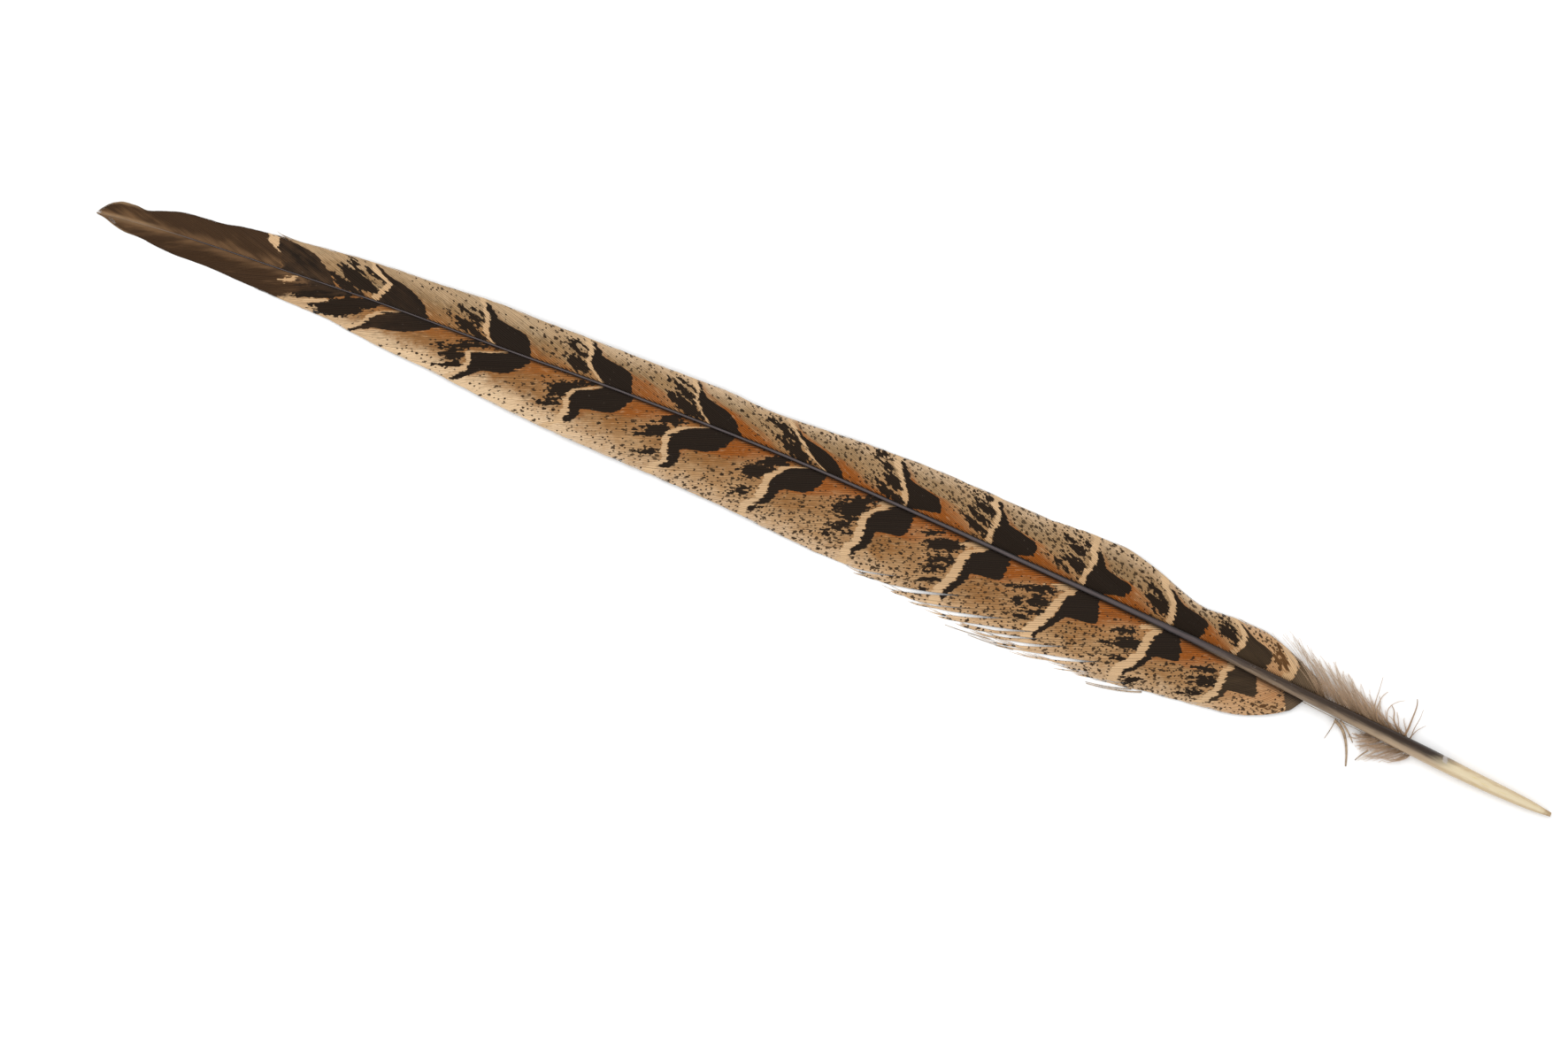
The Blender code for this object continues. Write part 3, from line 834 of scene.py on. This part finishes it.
def ground_colour(web, greyer, narrow_dim, rust, inner, middle, outer):
    """The ground from the shaft outwards, greyer in patches, pale along the edge, and rust by the shaft."""
    paint, d, out, patchy = web.paint, web.d, web.out, web.patchy
    place = out + 0.7 * web.broad + 0.5 * patchy
    ground = paint.mix(inner, middle, place.between(0.08, 0.50))
    ground = paint.mix(ground, outer, place.between(0.45, 0.85))
    grey = (web.broad * 2.0 + patchy + greyer).between(0.25, 0.95) * d.between(190.0, 130.0)
    ground = paint.mix(ground, GREY_BUFF, grey * 0.7)

    pale = out + 0.4 * patchy + 0.25 * web.fine - (0.81 - 0.20 * web.young)
    pale = pale.between(-0.14, 0.30) * (1.0 - narrow_dim * web.young)
    pale = pale * (0.45 + 0.55 * d.between(40.0, 62.0))
    pale_colour = paint.mix(EDGE_PALE, EDGE_PALE_NEAR_TIP, web.young)
    ground = paint.mix(ground, pale_colour, pale * 0.85)
    ground = paint.mix(ground, RUST, rust)
    ground = paint.mix(ground, PINK_BUFF, d.between(213.0, 222.0) * (0.62 + 0.8 * patchy))
    halo = (web.eye + 1.5 * web.dashes).between(2.2, 0.2) * out.between(0.02, 0.15)
    ground = paint.mix(ground, HALO, halo * (0.12 + 0.26 * web.maturity))

    mottle = web.barb_noise(0.6, 2.8, 13.0, 4.0, 0.65)
    cloud = (mottle + 0.5 * patchy).between(0.0, 0.22) * (0.42 + 0.20 * web.young) * out.between(1.15, 0.60)
    ground = paint.mix(ground, MOTTLE_DARK, cloud)
    return paint.mix(ground, MOTTLE_PALE, mottle.between(-0.02, -0.24) * 0.5)


def speckled(web, ground, rust):
    """Dark speckles in two sizes: few near the tip and in the rust, many towards the quill and the edge."""
    d, step = web.d, web.step
    density = 0.08 + 0.44 * d.between(50.0, 95.0) + 0.40 * d.between(95.0, 145.0)
    density = density * (0.70 + 0.50 * web.out.between(0.25, 0.9)) * (1.0 - 0.75 * rust)
    density = density * (0.92 + 1.2 * web.patchy)
    density = density + 0.30 * web.eye.between(3.5, 0.8) * d.between(40.0, 60.0)
    small = web.paint.specks(
        web.along * 1.15 + 0.4 * web.ragged + step, web.cross * 1.5 + 0.4 * web.fine, density * 0.9, 0.24
    )
    large = web.paint.specks(
        web.along * 0.62 + 0.5 * web.ragged + step, web.cross * 0.95 + 0.5 * web.fine, density * 0.72, 0.26
    )
    speck = small.most(large) * web.after.between(0.2, 0.9) * (0.80 + 0.20 * web.stray)
    return web.paint.mix(ground, SPECKLE, speck)


def barred(web, ground):
    """The broken eye marks, the cream line and the black patch of each bar."""
    paint, d, streaks = web.paint, web.d, web.streaks
    breaks = web.barb_noise(0.95, 1.9, 5.0)
    broken = (0.8 + 1.4 * d.between(45.0, 75.0)) * breaks
    eye_mark = (web.eye + 1.6 * web.dashes + broken + 1.2 * web.ragged).between(0.22, 0.05)
    eye_colour = paint.mix(EYE_INK, EYE_BROWN, d.between(217.0, 223.0) * (0.8 + 1.2 * streaks))
    ground = paint.mix(ground, eye_colour, eye_mark)
    cream_mark = (web.uneven(web.cream) + 0.8 * web.patchy).between(0.20, -0.06)
    ground = paint.mix(ground, paint.mix(CREAM_IN, CREAM_OUT, web.out), cream_mark)

    black_mark = (web.uneven(web.black) + 1.6 * web.near_tip * web.dashes).between(0.12, -0.08)
    colour = paint.mix(INK, INK_BROWN, d.between(209.0, 219.0) * (0.8 + 1.6 * streaks))
    colour = paint.mix(colour, INK_DUSKY, d.between(226.0, 230.0))
    colour = paint.mix(colour, INK_NEAR_TIP, web.near_tip * (0.25 + 1.5 * streaks + 0.8 * web.patchy))
    colour = paint.mix(colour, INK_SHEEN, (web.fine + 0.5 * web.ragged).between(0.22, 0.36) * 0.5)
    return paint.mix(ground, colour, black_mark)


def brown_tip(web, ground, narrow_dim, brown_to):
    """The dark brown tip, which ends at brown_to, with lighter streaks along its barbs and a rim."""
    paint, d, w, out, streaks = web.paint, web.d, web.w, web.out, web.streaks
    tip_end = brown_to - 1.3 * (w - 1.8).most(0.0) + 6.0 * web.patchy + 3.0 * web.ragged
    tip = (d - tip_end).between(0.9, -0.9) * web.uneven(web.cream).between(-0.06, 0.20)
    lighter = streaks + 0.6 * web.broad + 0.30 * w.between(2.4, 0.2)
    colour = paint.mix(TIP_BROWN, TIP_LIGHTER, lighter.between(0.0, 0.50))
    dark_rim = (out + 0.4 * streaks).between(0.72, 0.98) * d.between(4.0, 9.0)
    colour = paint.mix(colour, TIP_RIM_DARK, dark_rim * 0.7)
    pale_rim = (out + 0.3 * streaks).between(0.80, 1.0) * d.between(9.0, 4.0)
    beside_shaft = (w + 0.4 * streaks).between(0.75, 0.15) * d.between(15.0, 7.0)
    pale = pale_rim.most(beside_shaft * (0.35 + 0.65 * narrow_dim)) * 0.8
    colour = paint.mix(colour, TIP_RIM_PALE, pale)
    return paint.mix(ground, colour, tip)


def web_finish(name, seed, greyer, narrow_dim, dark_and_shaded_roots, brown_to, grounds):
    """A vane's material.

    grounds are the colours by the shaft, half way out and at the edge, and greyer shifts how much of them is
    grey. brown_to is where the brown tip ends, and dark_and_shaded_roots is the length of the barbs' dark
    roots, partly their own colour and partly painted shade beside the shaft.
    narrow_dim is how far the narrow vane's rust and pale edge are held back.
    """
    paint = Paint(name, Roughness=0.62, Specular_IOR_Level=0.12)
    web = Web(paint, seed)
    rust = rust_share(web, narrow_dim)
    colour = ground_colour(web, greyer, narrow_dim, rust, *grounds)
    colour = speckled(web, colour, rust)
    colour = barred(web, colour)
    colour = brown_tip(web, colour, narrow_dim, brown_to)

    # A barb is lightest along its ridge and darker towards its sides, partly its barbules' own colour and
    # partly painted shade in the gaps between barbs. Its roots are dark, and its underside is paler and
    # greyer.
    gap = web.across.size().between(0.28, 0.80)
    depth = 0.18 + 0.20 * web.d.between(25.0, 60.0) + 0.18 * rust
    colour = paint.shade(colour, (1.17 - depth * gap) * (0.93 + 0.14 * web.stray))
    # Dark barb roots, longer on the broad vane: partly the roots' own colour, partly painted shade beside
    # the shaft.
    root_dark_and_shade = (web.run - 0.6 * gap).between(dark_and_shaded_roots, 0.15)
    colour = paint.mix(colour, ROOT_DARK_AND_SHADE, root_dark_and_shade * 0.85 * web.d.between(30.0, 60.0))
    colour = paint.mix(colour, UNDERSIDE, web.under * 0.45)
    paint.feed(paint.shader.inputs["Base Color"], colour)
    barbules = paint.noise(web.run * 16.0, web.across * 1.2 + web.barb * 3.0, seed, 2.0)
    paint.bump(barbules, 0.25, 0.06)
    return paint.material


# ---------------------------------------------------------------- down and loose barbs


def hairs(d, y, z, radius, sides):
    """Rings of a thin round strand along each path: the path plus radius times a circle across it.

    d, y, z and radius are over strand and station. The circle's first axis is level and square to the path's
    plan, and its second is up.
    """
    along_d, along_y = np.gradient(d, axis=1), np.gradient(y, axis=1)
    long = np.maximum(np.hypot(along_d, along_y), 1e-6)
    angle = np.arange(sides) * 2 * math.pi / sides
    level = radius[..., None] * np.cos(angle)
    ring_d = d[..., None] + level * (along_y / long)[..., None]
    ring_y = y[..., None] - level * (along_d / long)[..., None]
    ring_z = np.maximum(z[..., None] + radius[..., None] * np.sin(angle), 0.01)
    return placed(ring_d, ring_y, ring_z)


def bent(start, middle, end, share):
    """A quadratic curve that passes its middle point half way."""
    control = 2 * middle - (start + end) / 2
    return (1 - share) ** 2 * start + 2 * share * (1 - share) * control + share**2 * end


def strand_map(count, stations, sides):
    """A bake map with a row for each strand, in columns."""
    columns = max(1, round(math.sqrt(count / 24)))
    rows = math.ceil(count / columns)
    number = np.arange(count)[:, None, None]
    u = (number // rows + 0.03 + 0.94 * np.linspace(0, 1, stations)[None, :, None]) / columns
    v = (number % rows + 0.08 + 0.84 * np.arange(sides + 1)[None, None, :] / sides) / rows
    return u, v


STEM_STATIONS = 16  # points along a down barb
STEM_SIDES = 4
BROKEN = 0.45  # the share of a tuft's barbs that are broken off, where scatter is 1
WOBBLE = 0.20
BARBULE_STATIONS = 3
BARBULE_SIDES = 3
BARBULE_LEAN = (36, 10)  # degrees between a barbule and its barb, and how much that varies
BARBULE_RADIUS = 0.016


def down_barbs(side, guides, count, scatter, rng):
    """Where each soft barb of a tuft runs, between its neighbouring guides, over barb and station.

    Returns the share of its whole path, d, w, y and z, and for each barb its barbules' length and its
    thickness. Some barbs are broken off.
    """
    spots = np.arange(count) + scatter * rng.uniform(-0.4, 0.4, count)
    at = np.clip(spots / (count - 1), 0, 1) * (len(guides) - 1)
    table = np.stack([np.interp(at, np.arange(len(guides)), column) for column in np.array(guides).T], 1)
    start, middle, end = table[:, 0:2], table[:, 2:4], table[:, 4:6]
    broken = rng.uniform(0, 1, count) < BROKEN * scatter
    short = rng.uniform(0.35, 0.9, count)
    whole = 1.0 + scatter * rng.uniform(-0.12, 0.04, count)
    cut = np.where(broken, short, whole)
    middle = middle + scatter * rng.normal(0, 0.30, (count, 2))
    end = end + scatter * rng.normal(0, 0.50, (count, 2))
    share = np.linspace(0, 1, STEM_STATIONS)[None, :] * cut[:, None]
    wobble = WOBBLE * np.sin(share * rng.uniform(4, 12, (count, 1)) + rng.uniform(0, 6, (count, 1))) * share
    d = bent(start[:, :1], middle[:, :1], end[:, :1], share) + wobble
    w = bent(start[:, 1:], middle[:, 1:], end[:, 1:], share) + wobble
    root_z = shaft_under(d[:, :1]) + rng.uniform(0.25, 0.6, (count, 1)) * shaft_depth(d[:, :1])
    end_z = rng.uniform(0.15, 1.1, (count, 1))
    z = root_z + (end_z - root_z) * share**0.8
    return share, d, w, shaft_bow(d) + side * w, z, table[:, 6:7], table[:, 7:8]


def down_barbules(d, w, y, z, barbules, longest, rng):
    """Barbules along each barb, alternately on its two sides, and shorter towards its tip.

    A barbule leaves its barb at an angle towards the barb's tip and bends further that way. Returns their
    rings, and how far out from the shaft and how far along its barb each one starts.
    """
    count, stations = d.shape
    each = np.linspace(0.06, 0.995, barbules)
    spot = each[None, :] + rng.uniform(-0.4, 0.4, (count, barbules)) / barbules
    spot = np.clip(spot, 0.02, 1.0) * (stations - 1)
    below = np.minimum(spot.astype(int), stations - 2)
    part = spot - below
    rows = np.arange(count)[:, None]

    def on_barb(values):
        return values[rows, below] * (1 - part) + values[rows, below + 1] * part

    heading = np.arctan2(on_barb(np.gradient(y, axis=1)), on_barb(np.gradient(d, axis=1)))
    hand = np.where(np.arange(barbules) % 2 == 0, 1.0, -1.0)[None, :]
    lean = np.radians(rng.normal(*BARBULE_LEAN, (count, barbules))) * hand
    along = spot / (stations - 1)
    length = longest * (1 - 0.60 * along) * rng.uniform(0.45, 1.15, (count, barbules))
    steps = np.linspace(0, 1, BARBULE_STATIONS)
    turn = heading[..., None] + lean[..., None] * (1 - 0.35 * steps)
    reach = length[..., None] * steps
    rise = rng.normal(0, 0.22, (count, barbules))[..., None] * steps
    paths = (
        on_barb(d)[..., None] + reach * np.cos(turn),
        on_barb(y)[..., None] + reach * np.sin(turn),
        np.maximum(on_barb(z)[..., None] + rise * length[..., None], 0.05),
        BARBULE_RADIUS * (1 - 0.6 * steps) * np.ones(length.shape + (1,)),
    )
    rings = hairs(*(path.reshape(count * barbules, BARBULE_STATIONS) for path in paths), BARBULE_SIDES)
    return rings, on_barb(w), along


def build_down(name, side, guides, count, barbules, scatter, finish, seed, nodes=()):
    """A tuft of down: soft barbs between guides, and barbules along both sides of each.

    A guide is the root, middle and tip of a barb as d and w, the length of its barbules, and its thickness.
    scatter is how far the barbs stray, from 0, where each follows a guide exactly.
    """
    rng = np.random.default_rng(seed)
    share, d, w, y, z, longest, thick = down_barbs(side, guides, count, scatter, rng)
    stems = hairs(d, y, z, thick / 2 * (1 - 0.65 * share), STEM_SIDES)
    wisps, wisp_w, along = down_barbules(d, w, y, z, barbules, longest, rng)
    tint = rng.uniform(0, 1, (count, 1))
    groups = [
        strand_group(stems, [w, share - 1.0, np.broadcast_to(tint, w.shape)]),
        strand_group(wisps, [wisp_w, along, np.broadcast_to(tint, along.shape)]),
    ]
    add_strands(name, groups, finish, nodes)


def strand_group(points, told):
    """A group for add_strands.

    told is the three arrays that the attribute "tuft" holds, over strand, with or without station.
    """
    strands, stations, sides = points.shape[:3]
    parts = [np.asarray(values, float) for values in told]
    if parts[0].size == strands:
        parts = [values.reshape(strands, 1, 1) for values in parts]
    else:
        parts = [values.reshape(strands, stations, 1) for values in parts]
    full = [np.broadcast_to(values, (strands, stations, sides)) for values in parts]
    return points, {"tuft": np.stack(full, -1)}, strand_map(strands, stations, sides)


DOWN_BROWN = tone(128, 102, 78)
DOWN_BUFF = tone(212, 182, 152)
DOWN_PALE = tone(236, 216, 194)
DOWN_STEM = tone(146, 117, 90)
BARE_DARK = tone(112, 90, 70)
BARE_PALE = tone(188, 163, 134)


def down_finish():
    """Down: grey brown by the shaft and paler towards its tips. Its barbs are darker than its barbules.

    A barb's second number in "tuft" is below zero, and a barbule's is above.
    """
    paint = Paint("down_grey_brown", Roughness=0.85, Specular_IOR_Level=0.15)
    out, along, tint = paint.parts("tuft")
    stem = along.between(0.01, -0.01)
    colour = paint.mix(DOWN_BROWN, DOWN_BUFF, (out + 1.2 * tint).between(1.2, 3.4))
    colour = paint.mix(colour, DOWN_PALE, (out + 1.5 * tint).between(3.4, 7.0))
    colour = paint.mix(colour, DOWN_STEM, stem * (0.35 + 0.40 * tint))
    paint.feed(paint.shader.inputs["Base Color"], colour)
    return paint.material


BARE_STATIONS = 30
BARE_SIDES = 6


def build_loose(name, rows, finish, nodes=()):
    """Single barbs that lie apart.

    Each row: side, three points as d and w, thickness, and the heights of both ends.
    """
    share = np.linspace(0, 1, BARE_STATIONS)[None, :]
    side, start_d, start_w, middle_d, middle_w, end_d, end_w, thick, low, high = np.array(rows).T[..., None]
    d = bent(start_d, middle_d, end_d, share)
    w = bent(start_w, middle_w, end_w, share)
    z = low + (high - low) * share
    radius = thick / 2 * (1 - 0.55 * share**1.5)
    points = hairs(d, shaft_bow(d) + side * w, z + radius, radius, BARE_SIDES)
    tint = (np.arange(len(rows)) * 0.37 % 1.0)[:, None] * np.ones((1, BARE_STATIONS))
    told = [w, share * np.hypot(end_d - start_d, end_w - start_w), tint]
    add_strands(name, [strand_group(points, told)], finish, nodes)


def loose_finish():
    """Bare barbs: brown, ribbed across in light and dark where the barbules broke off."""
    paint = Paint("bare_barb_brown", Roughness=0.6, Specular_IOR_Level=0.3)
    _, along, tint = paint.parts("tuft")
    ribs = paint.noise(along * 5.0, tint * 9.0, 1.0, 1.0)
    patches = paint.noise(along * 0.9, tint * 7.0, 4.0, 2.0)
    colour = paint.mix(BARE_DARK, BARE_PALE, (0.6 * ribs + patches + 0.05).between(-0.25, 0.20))
    paint.feed(paint.shader.inputs["Base Color"], colour)
    paint.bump(ribs, 0.4, 0.08)
    return paint.material


# ---------------------------------------------------------------- shaft and quill


SHAFT_SIDES = 28
SHAFT_RINGS = np.concatenate(
    [np.linspace(0, 40, 60), np.linspace(40.8, 255, 330), np.linspace(255.4, 279.7, 70), [279.9, 280.0]]
)
SQUARER = 0.22  # how far the power falls below 1 under the vanes
GROOVE_DEPTH, GROOVE_WIDTH = 0.30, 0.32  # shares of the shaft's half depth and half width
# The quill's open end, ring by ring going inside: distance from the tip, share of the last outer ring's
# size, and how much painted shade darkens it.
HOLLOW = np.array([(279.9, 0.72, 0.4), (279.0, 0.62, 1.0), (277.5, 0.5, 1.0), (276.0, 0.05, 1.0)])


def shaft_section(d, angle):
    """Where each ring's points lie, as shares of half its width across and of half its depth up.

    Each ring is a rounded box: the cosine and the sine of the angle, each to a power. The power falls from 1
    at the quill, where the ring is round, to 0.78 under the vanes. A groove runs along the underside there.
    """
    power = 1 - SQUARER * eased(262, 225, d) * eased(0, 25, d)
    c, s = np.cos(angle), np.sin(angle)
    across = np.sign(c) * np.abs(c) ** power
    up = np.sign(s) * np.abs(s) ** power
    groove = GROOVE_DEPTH * eased(245, 215, d) * np.exp(-((across / GROOVE_WIDTH) ** 2)) * (s < 0)
    return across, up + groove


def build_shaft(finish):
    """The shaft as rings along the feather, and rings that turn back into the quill's open end."""
    angle = (np.arange(SHAFT_SIDES) + 0.5)[None, :] * 2 * math.pi / SHAFT_SIDES
    d = SHAFT_RINGS[:, None]
    across, up = shaft_section(d, angle)
    y = shaft_bow(d) + shaft_half_width(d) * across
    z = shaft_under(d) + shaft_depth(d) / 2 * (1 + up)

    inside_d, shrink, dark = HOLLOW.T[..., None]
    inside_y = shaft_bow(LENGTH) + shrink * shaft_half_width(LENGTH) * np.cos(angle)
    half_depth = shaft_depth(LENGTH) / 2
    inside_z = shaft_under(LENGTH) + half_depth + shrink * half_depth * np.sin(angle)

    def whole(outer, inner):
        """A value at every point of the outer rings and then of the inner ones, as one strand."""
        outer = np.broadcast_to(outer, (len(d), SHAFT_SIDES))
        inner = np.broadcast_to(inner, (len(inside_d), SHAFT_SIDES))
        return np.concatenate([outer, inner])[None, :, ::-1]

    rings_d = whole(d, inside_d)
    points = placed(rings_d, whole(y, inside_y), whole(z, inside_z))
    attributes = {
        "place": np.stack([rings_d, whole(across, 0.0), whole(up, 0.0)], -1),
        # The hollow's number is how much painted shade darkens each inner ring.
        "hollow": np.stack([whole(0.0, dark)] * 3, -1),
    }
    # On the bake map the inner rings follow the outer ones, 0.6 mm apart.
    along = np.concatenate([SHAFT_RINGS, LENGTH + np.arange(1, len(HOLLOW) + 1) * 0.6]) / 282.5
    around = np.arange(SHAFT_SIDES + 1)[None, None, :] / SHAFT_SIDES
    bake_map = (0.01 + 0.98 * along[None, :, None], 0.01 + 0.98 * around)
    add_strands("shaft_and_quill", [(points, attributes, bake_map)], finish, ("shaft",))


# The shaft's colours: at the sides or the side in shade, and along the middle or the lit side.
HORN_DARK = tone(36, 31, 32), tone(90, 80, 80)
HORN_BROWN = tone(66, 54, 46), tone(136, 116, 96)
HORN_TAUPE = tone(58, 46, 38), tone(188, 164, 136)
HORN_CREAM = tone(206, 180, 140), tone(231, 214, 178)
HORN_TIP = tone(150, 122, 94)
QUILL_END = tone(150, 112, 66)
QUILL_YELLOW = tone(221, 197, 112)
PALE_STREAK = tone(172, 168, 166)
FLAKE = tone(190, 182, 176)
HORN_UNDER = tone(196, 182, 158)
HOLLOW_SHADE = tone(70, 50, 32)


def shaft_finish():
    """Horn: near black along the vanes, brown where the down grows, and pale cream at the bare quill."""
    paint = Paint("shaft_horn", Specular_IOR_Level=0.28, Coat_Roughness=0.22)
    d, side, up = paint.parts("place")
    long_noise = paint.noise(d * 0.25, side * 2.5, 1.0, 3.0)
    fine_lines = paint.noise(d * 0.5, side * 14.0 + up * 9.0, 2.0, 2.0)
    rings = paint.noise(d * 2.2, side * 0.6, 3.0, 2.0)

    dark = paint.mix(*HORN_DARK, (side.size() + 0.8 * long_noise).between(0.80, 0.20))
    brown = paint.mix(*HORN_BROWN, (side * -1.0 + 1.2 * long_noise).between(-0.3, 0.8))
    taupe = paint.mix(*HORN_TAUPE, (side * -1.0 + 0.5 * long_noise).between(-0.25, 0.75))
    cream = paint.mix(*HORN_CREAM, (side.size() + 1.3 * fine_lines).between(0.9, 0.2))
    dark = paint.mix(dark, HORN_TIP, d.between(20.0, 8.0) * 0.8)
    colour = paint.mix(dark, brown, (d + 8.0 * long_noise).between(208.0, 222.0))
    colour = paint.mix(colour, taupe, (d + 6.0 * long_noise).between(234.0, 250.0))
    colour = paint.mix(colour, cream, (d - 2.0 * side + 3.0 * long_noise).between(255.0, 261.5))

    colour = paint.mix(colour, QUILL_END, (d + 1.5 * rings).between(277.8, 279.8) * 0.7)
    yellow = (long_noise + 0.5 * fine_lines).between(0.06, 0.3) * d.between(262.0, 266.0)
    colour = paint.mix(colour, QUILL_YELLOW, yellow * 0.5)
    # Thin pale grey streaks along the shaft from about 200 mm from the tip, fading out towards the quill.
    pale_streak = (fine_lines + 0.5 * rings).between(0.20, 0.32) * d.between(196.0, 214.0)
    colour = paint.mix(colour, PALE_STREAK, pale_streak * d.between(262.0, 228.0) * 0.7)
    band = d + 1.2 * rings + 0.8 * fine_lines
    flake = band.between(258.2, 258.5) * band.between(259.4, 259.1)
    flake = flake * (side + 1.2 * long_noise).between(-0.1, 0.5)
    colour = paint.mix(colour, FLAKE, flake * 0.85)
    under = (up * -1.0).between(0.1, 0.8) * d.between(262.0, 230.0)
    colour = paint.mix(colour, HORN_UNDER, under * 0.75)
    # Painted shade inside the quill's open end.
    colour = paint.mix(colour, HOLLOW_SHADE, paint.parts("hollow")[0])
    paint.feed(paint.shader.inputs["Base Color"], colour)
    paint.feed(paint.shader.inputs["Roughness"], 0.34 + 0.25 * long_noise + 0.2 * fine_lines)
    paint.feed(paint.shader.inputs["Coat Weight"], 0.05 + 0.6 * d.between(248.0, 264.0))
    paint.bump(fine_lines + 0.4 * rings, 0.35, 0.08)
    return paint.material


# ---------------------------------------------------------------- the stage


FLOOR_HALF = 3.0  # metres
FLOOR_WHITE = (0.95, 0.95, 0.95, 1.0)


def build_floor():
    """A plain pale floor."""
    half = FLOOR_HALF
    mesh = bpy.data.meshes.new("floor")
    corners = [(-half, -half, 0.0), (half, -half, 0.0), (half, half, 0.0), (-half, half, 0.0)]
    mesh.from_pydata(corners, [], [(0, 1, 2, 3)])
    floor = bpy.data.objects.new("floor", mesh)
    bpy.context.scene.collection.objects.link(floor)
    paint = Paint("floor_white", Base_Color=FLOOR_WHITE, Roughness=0.9, Specular_IOR_Level=0.1)
    mesh.materials.append(paint.material)


def add_area(name, place, size, energy):
    """A square soft light that faces the feather's middle."""
    light = bpy.data.lights.new(name, "AREA")
    light.shape = "SQUARE"
    light.size = size
    light.energy = energy
    made = bpy.data.objects.new(name, light)
    bpy.context.scene.collection.objects.link(made)
    made.location = place
    made.rotation_euler = (-made.location).to_track_quat("-Z", "Y").to_euler()


VIEW_TURN = math.radians(22.54)  # the feather's fall to the right in the view
VIEW_WIDTH = 279.2  # mm across the picture at the surface
VIEW_OFF = (7.0, 1.6)  # mm from the picture's middle to the feather's middle, right and up
LENS = 100.0
SENSOR = 36.0
# The lights: size and energy, and places in metres. The key stands off towards the top of the picture.
KEY_SIZE, KEY_ENERGY = 1.4, 14.5
KEY_OFF, KEY_LEFT, KEY_HEIGHT = 0.7, 0.35, 1.45
FILL_SIZE, FILL_ENERGY = 1.6, 8.0
FILL_PLACE = (0.9, -0.9, 1.1)
WORLD_STRENGTH = 0.75


def build_camera(right, up):
    """A camera straight above, turned so that the feather falls to the right."""
    ends_y = (shaft_bow(0.0) + shaft_bow(LENGTH)) / 2 - SIDEWAYS
    middle = np.array([START + LENGTH / 2, ends_y]) - VIEW_OFF[0] * right - VIEW_OFF[1] * up
    camera = bpy.data.cameras.new("camera")
    camera.lens = LENS
    camera.sensor_width = SENSOR
    camera.clip_start = 0.01
    made = bpy.data.objects.new("camera", camera)
    bpy.context.scene.collection.objects.link(made)
    distance = VIEW_WIDTH / SENSOR * LENS
    made.location = (middle[0] * MM, middle[1] * MM, distance * MM)
    made.rotation_euler = (0.0, 0.0, VIEW_TURN)
    bpy.context.scene.camera = made


def build_view():
    """The camera, its lights and an even white surrounding."""
    right = np.array([math.cos(VIEW_TURN), math.sin(VIEW_TURN)])
    up = np.array([-math.sin(VIEW_TURN), math.cos(VIEW_TURN)])
    build_camera(right, up)
    add_area("key", (KEY_OFF * up[0] - KEY_LEFT, KEY_OFF * up[1], KEY_HEIGHT), KEY_SIZE, KEY_ENERGY)
    add_area("fill", FILL_PLACE, FILL_SIZE, FILL_ENERGY)
    world = bpy.data.worlds.new("studio")
    world.use_nodes = True
    background = world.node_tree.nodes["Background"]
    background.inputs["Color"].default_value = (1.0, 1.0, 1.0, 1.0)
    background.inputs["Strength"].default_value = WORLD_STRENGTH
    bpy.context.scene.world = world
    bpy.context.scene.view_settings.view_transform = "Standard"


def fringe(rng, low, high, between, widths, opens):
    """Partings at random places along an edge, each with its width and how far along the barbs it opens."""
    places = low + np.cumsum(rng.uniform(*between, 200))
    places = places[places < high]
    return [(place, rng.uniform(*widths), rng.uniform(*opens)) for place in places]


def build_vanes():
    """Both vanes, each with its partings, its markings and its material."""
    rng = np.random.default_rng(11)
    narrow_partings = fringe(rng, 20, 195, *SMALL_PARTINGS) + NARROW_SPLIT
    broad_partings = fringe(rng, 20, 144, *SMALL_PARTINGS) + FRAYED
    broad_partings += fringe(rng, 188, 225, *WORN_PARTINGS)
    narrow_finish = web_finish(
        "narrow_web_barbs",
        seed=20.0,
        greyer=0.20,
        narrow_dim=0.75,
        dark_and_shaded_roots=0.6,
        brown_to=34.5,
        grounds=(tone(149, 107, 67), tone(149, 120, 86), tone(168, 140, 107)),
    )
    broad_finish = web_finish(
        "broad_web_barbs",
        seed=60.0,
        greyer=-0.10,
        narrow_dim=0.0,
        dark_and_shaded_roots=2.0,
        brown_to=39.5,
        grounds=(tone(149, 98, 54), tone(152, 109, 68), tone(181, 144, 104)),
    )
    build_vane(
        "narrow_barbs",
        NARROW,
        NARROW_EDGE,
        NARROW_STEPS,
        NARROW_LEAN,
        stations=44,
        partings=narrow_partings,
        ragged=NARROW_RAGGED,
        marking=(NARROW_STATIONS, NARROW_BARS, NARROW_EYES, NARROW_BLOTS, NARROW_MARK_LEAN),
        finish=narrow_finish,
        node="narrow_vane",
        seed=3,
    )
    build_vane(
        "broad_barbs",
        BROAD,
        BROAD_EDGE,
        BROAD_STEPS,
        BROAD_LEAN,
        stations=52,
        partings=broad_partings,
        ragged=BROAD_RAGGED,
        marking=(BROAD_STATIONS, BROAD_BARS, BROAD_EYES, BROAD_BLOTS, BROAD_MARK_LEAN),
        finish=broad_finish,
        node="broad_vane",
        seed=5,
    )


def main():
    build_vanes()
    build_shaft(shaft_finish())
    down = down_finish()
    build_down("narrow_side_down_tuft", NARROW, NARROW_TUFT, 100, 114, 1.0, down, 8, ("narrow_side_down",))
    build_down("broad_side_down_tuft", BROAD, BROAD_TUFT, 46, 84, 1.0, down, 9, ("broad_side_down",))
    build_down("upright_barbs", NARROW, TWIGS, len(TWIGS), 60, 0.0, down, 10)
    bare = loose_finish()
    build_loose("loose_barbs_by_quill", LOOSE_PAIR, bare, ("loose_barbs",))
    build_loose("stray_hairs", STRAY, bare)
    build_floor()
    build_view()


main()
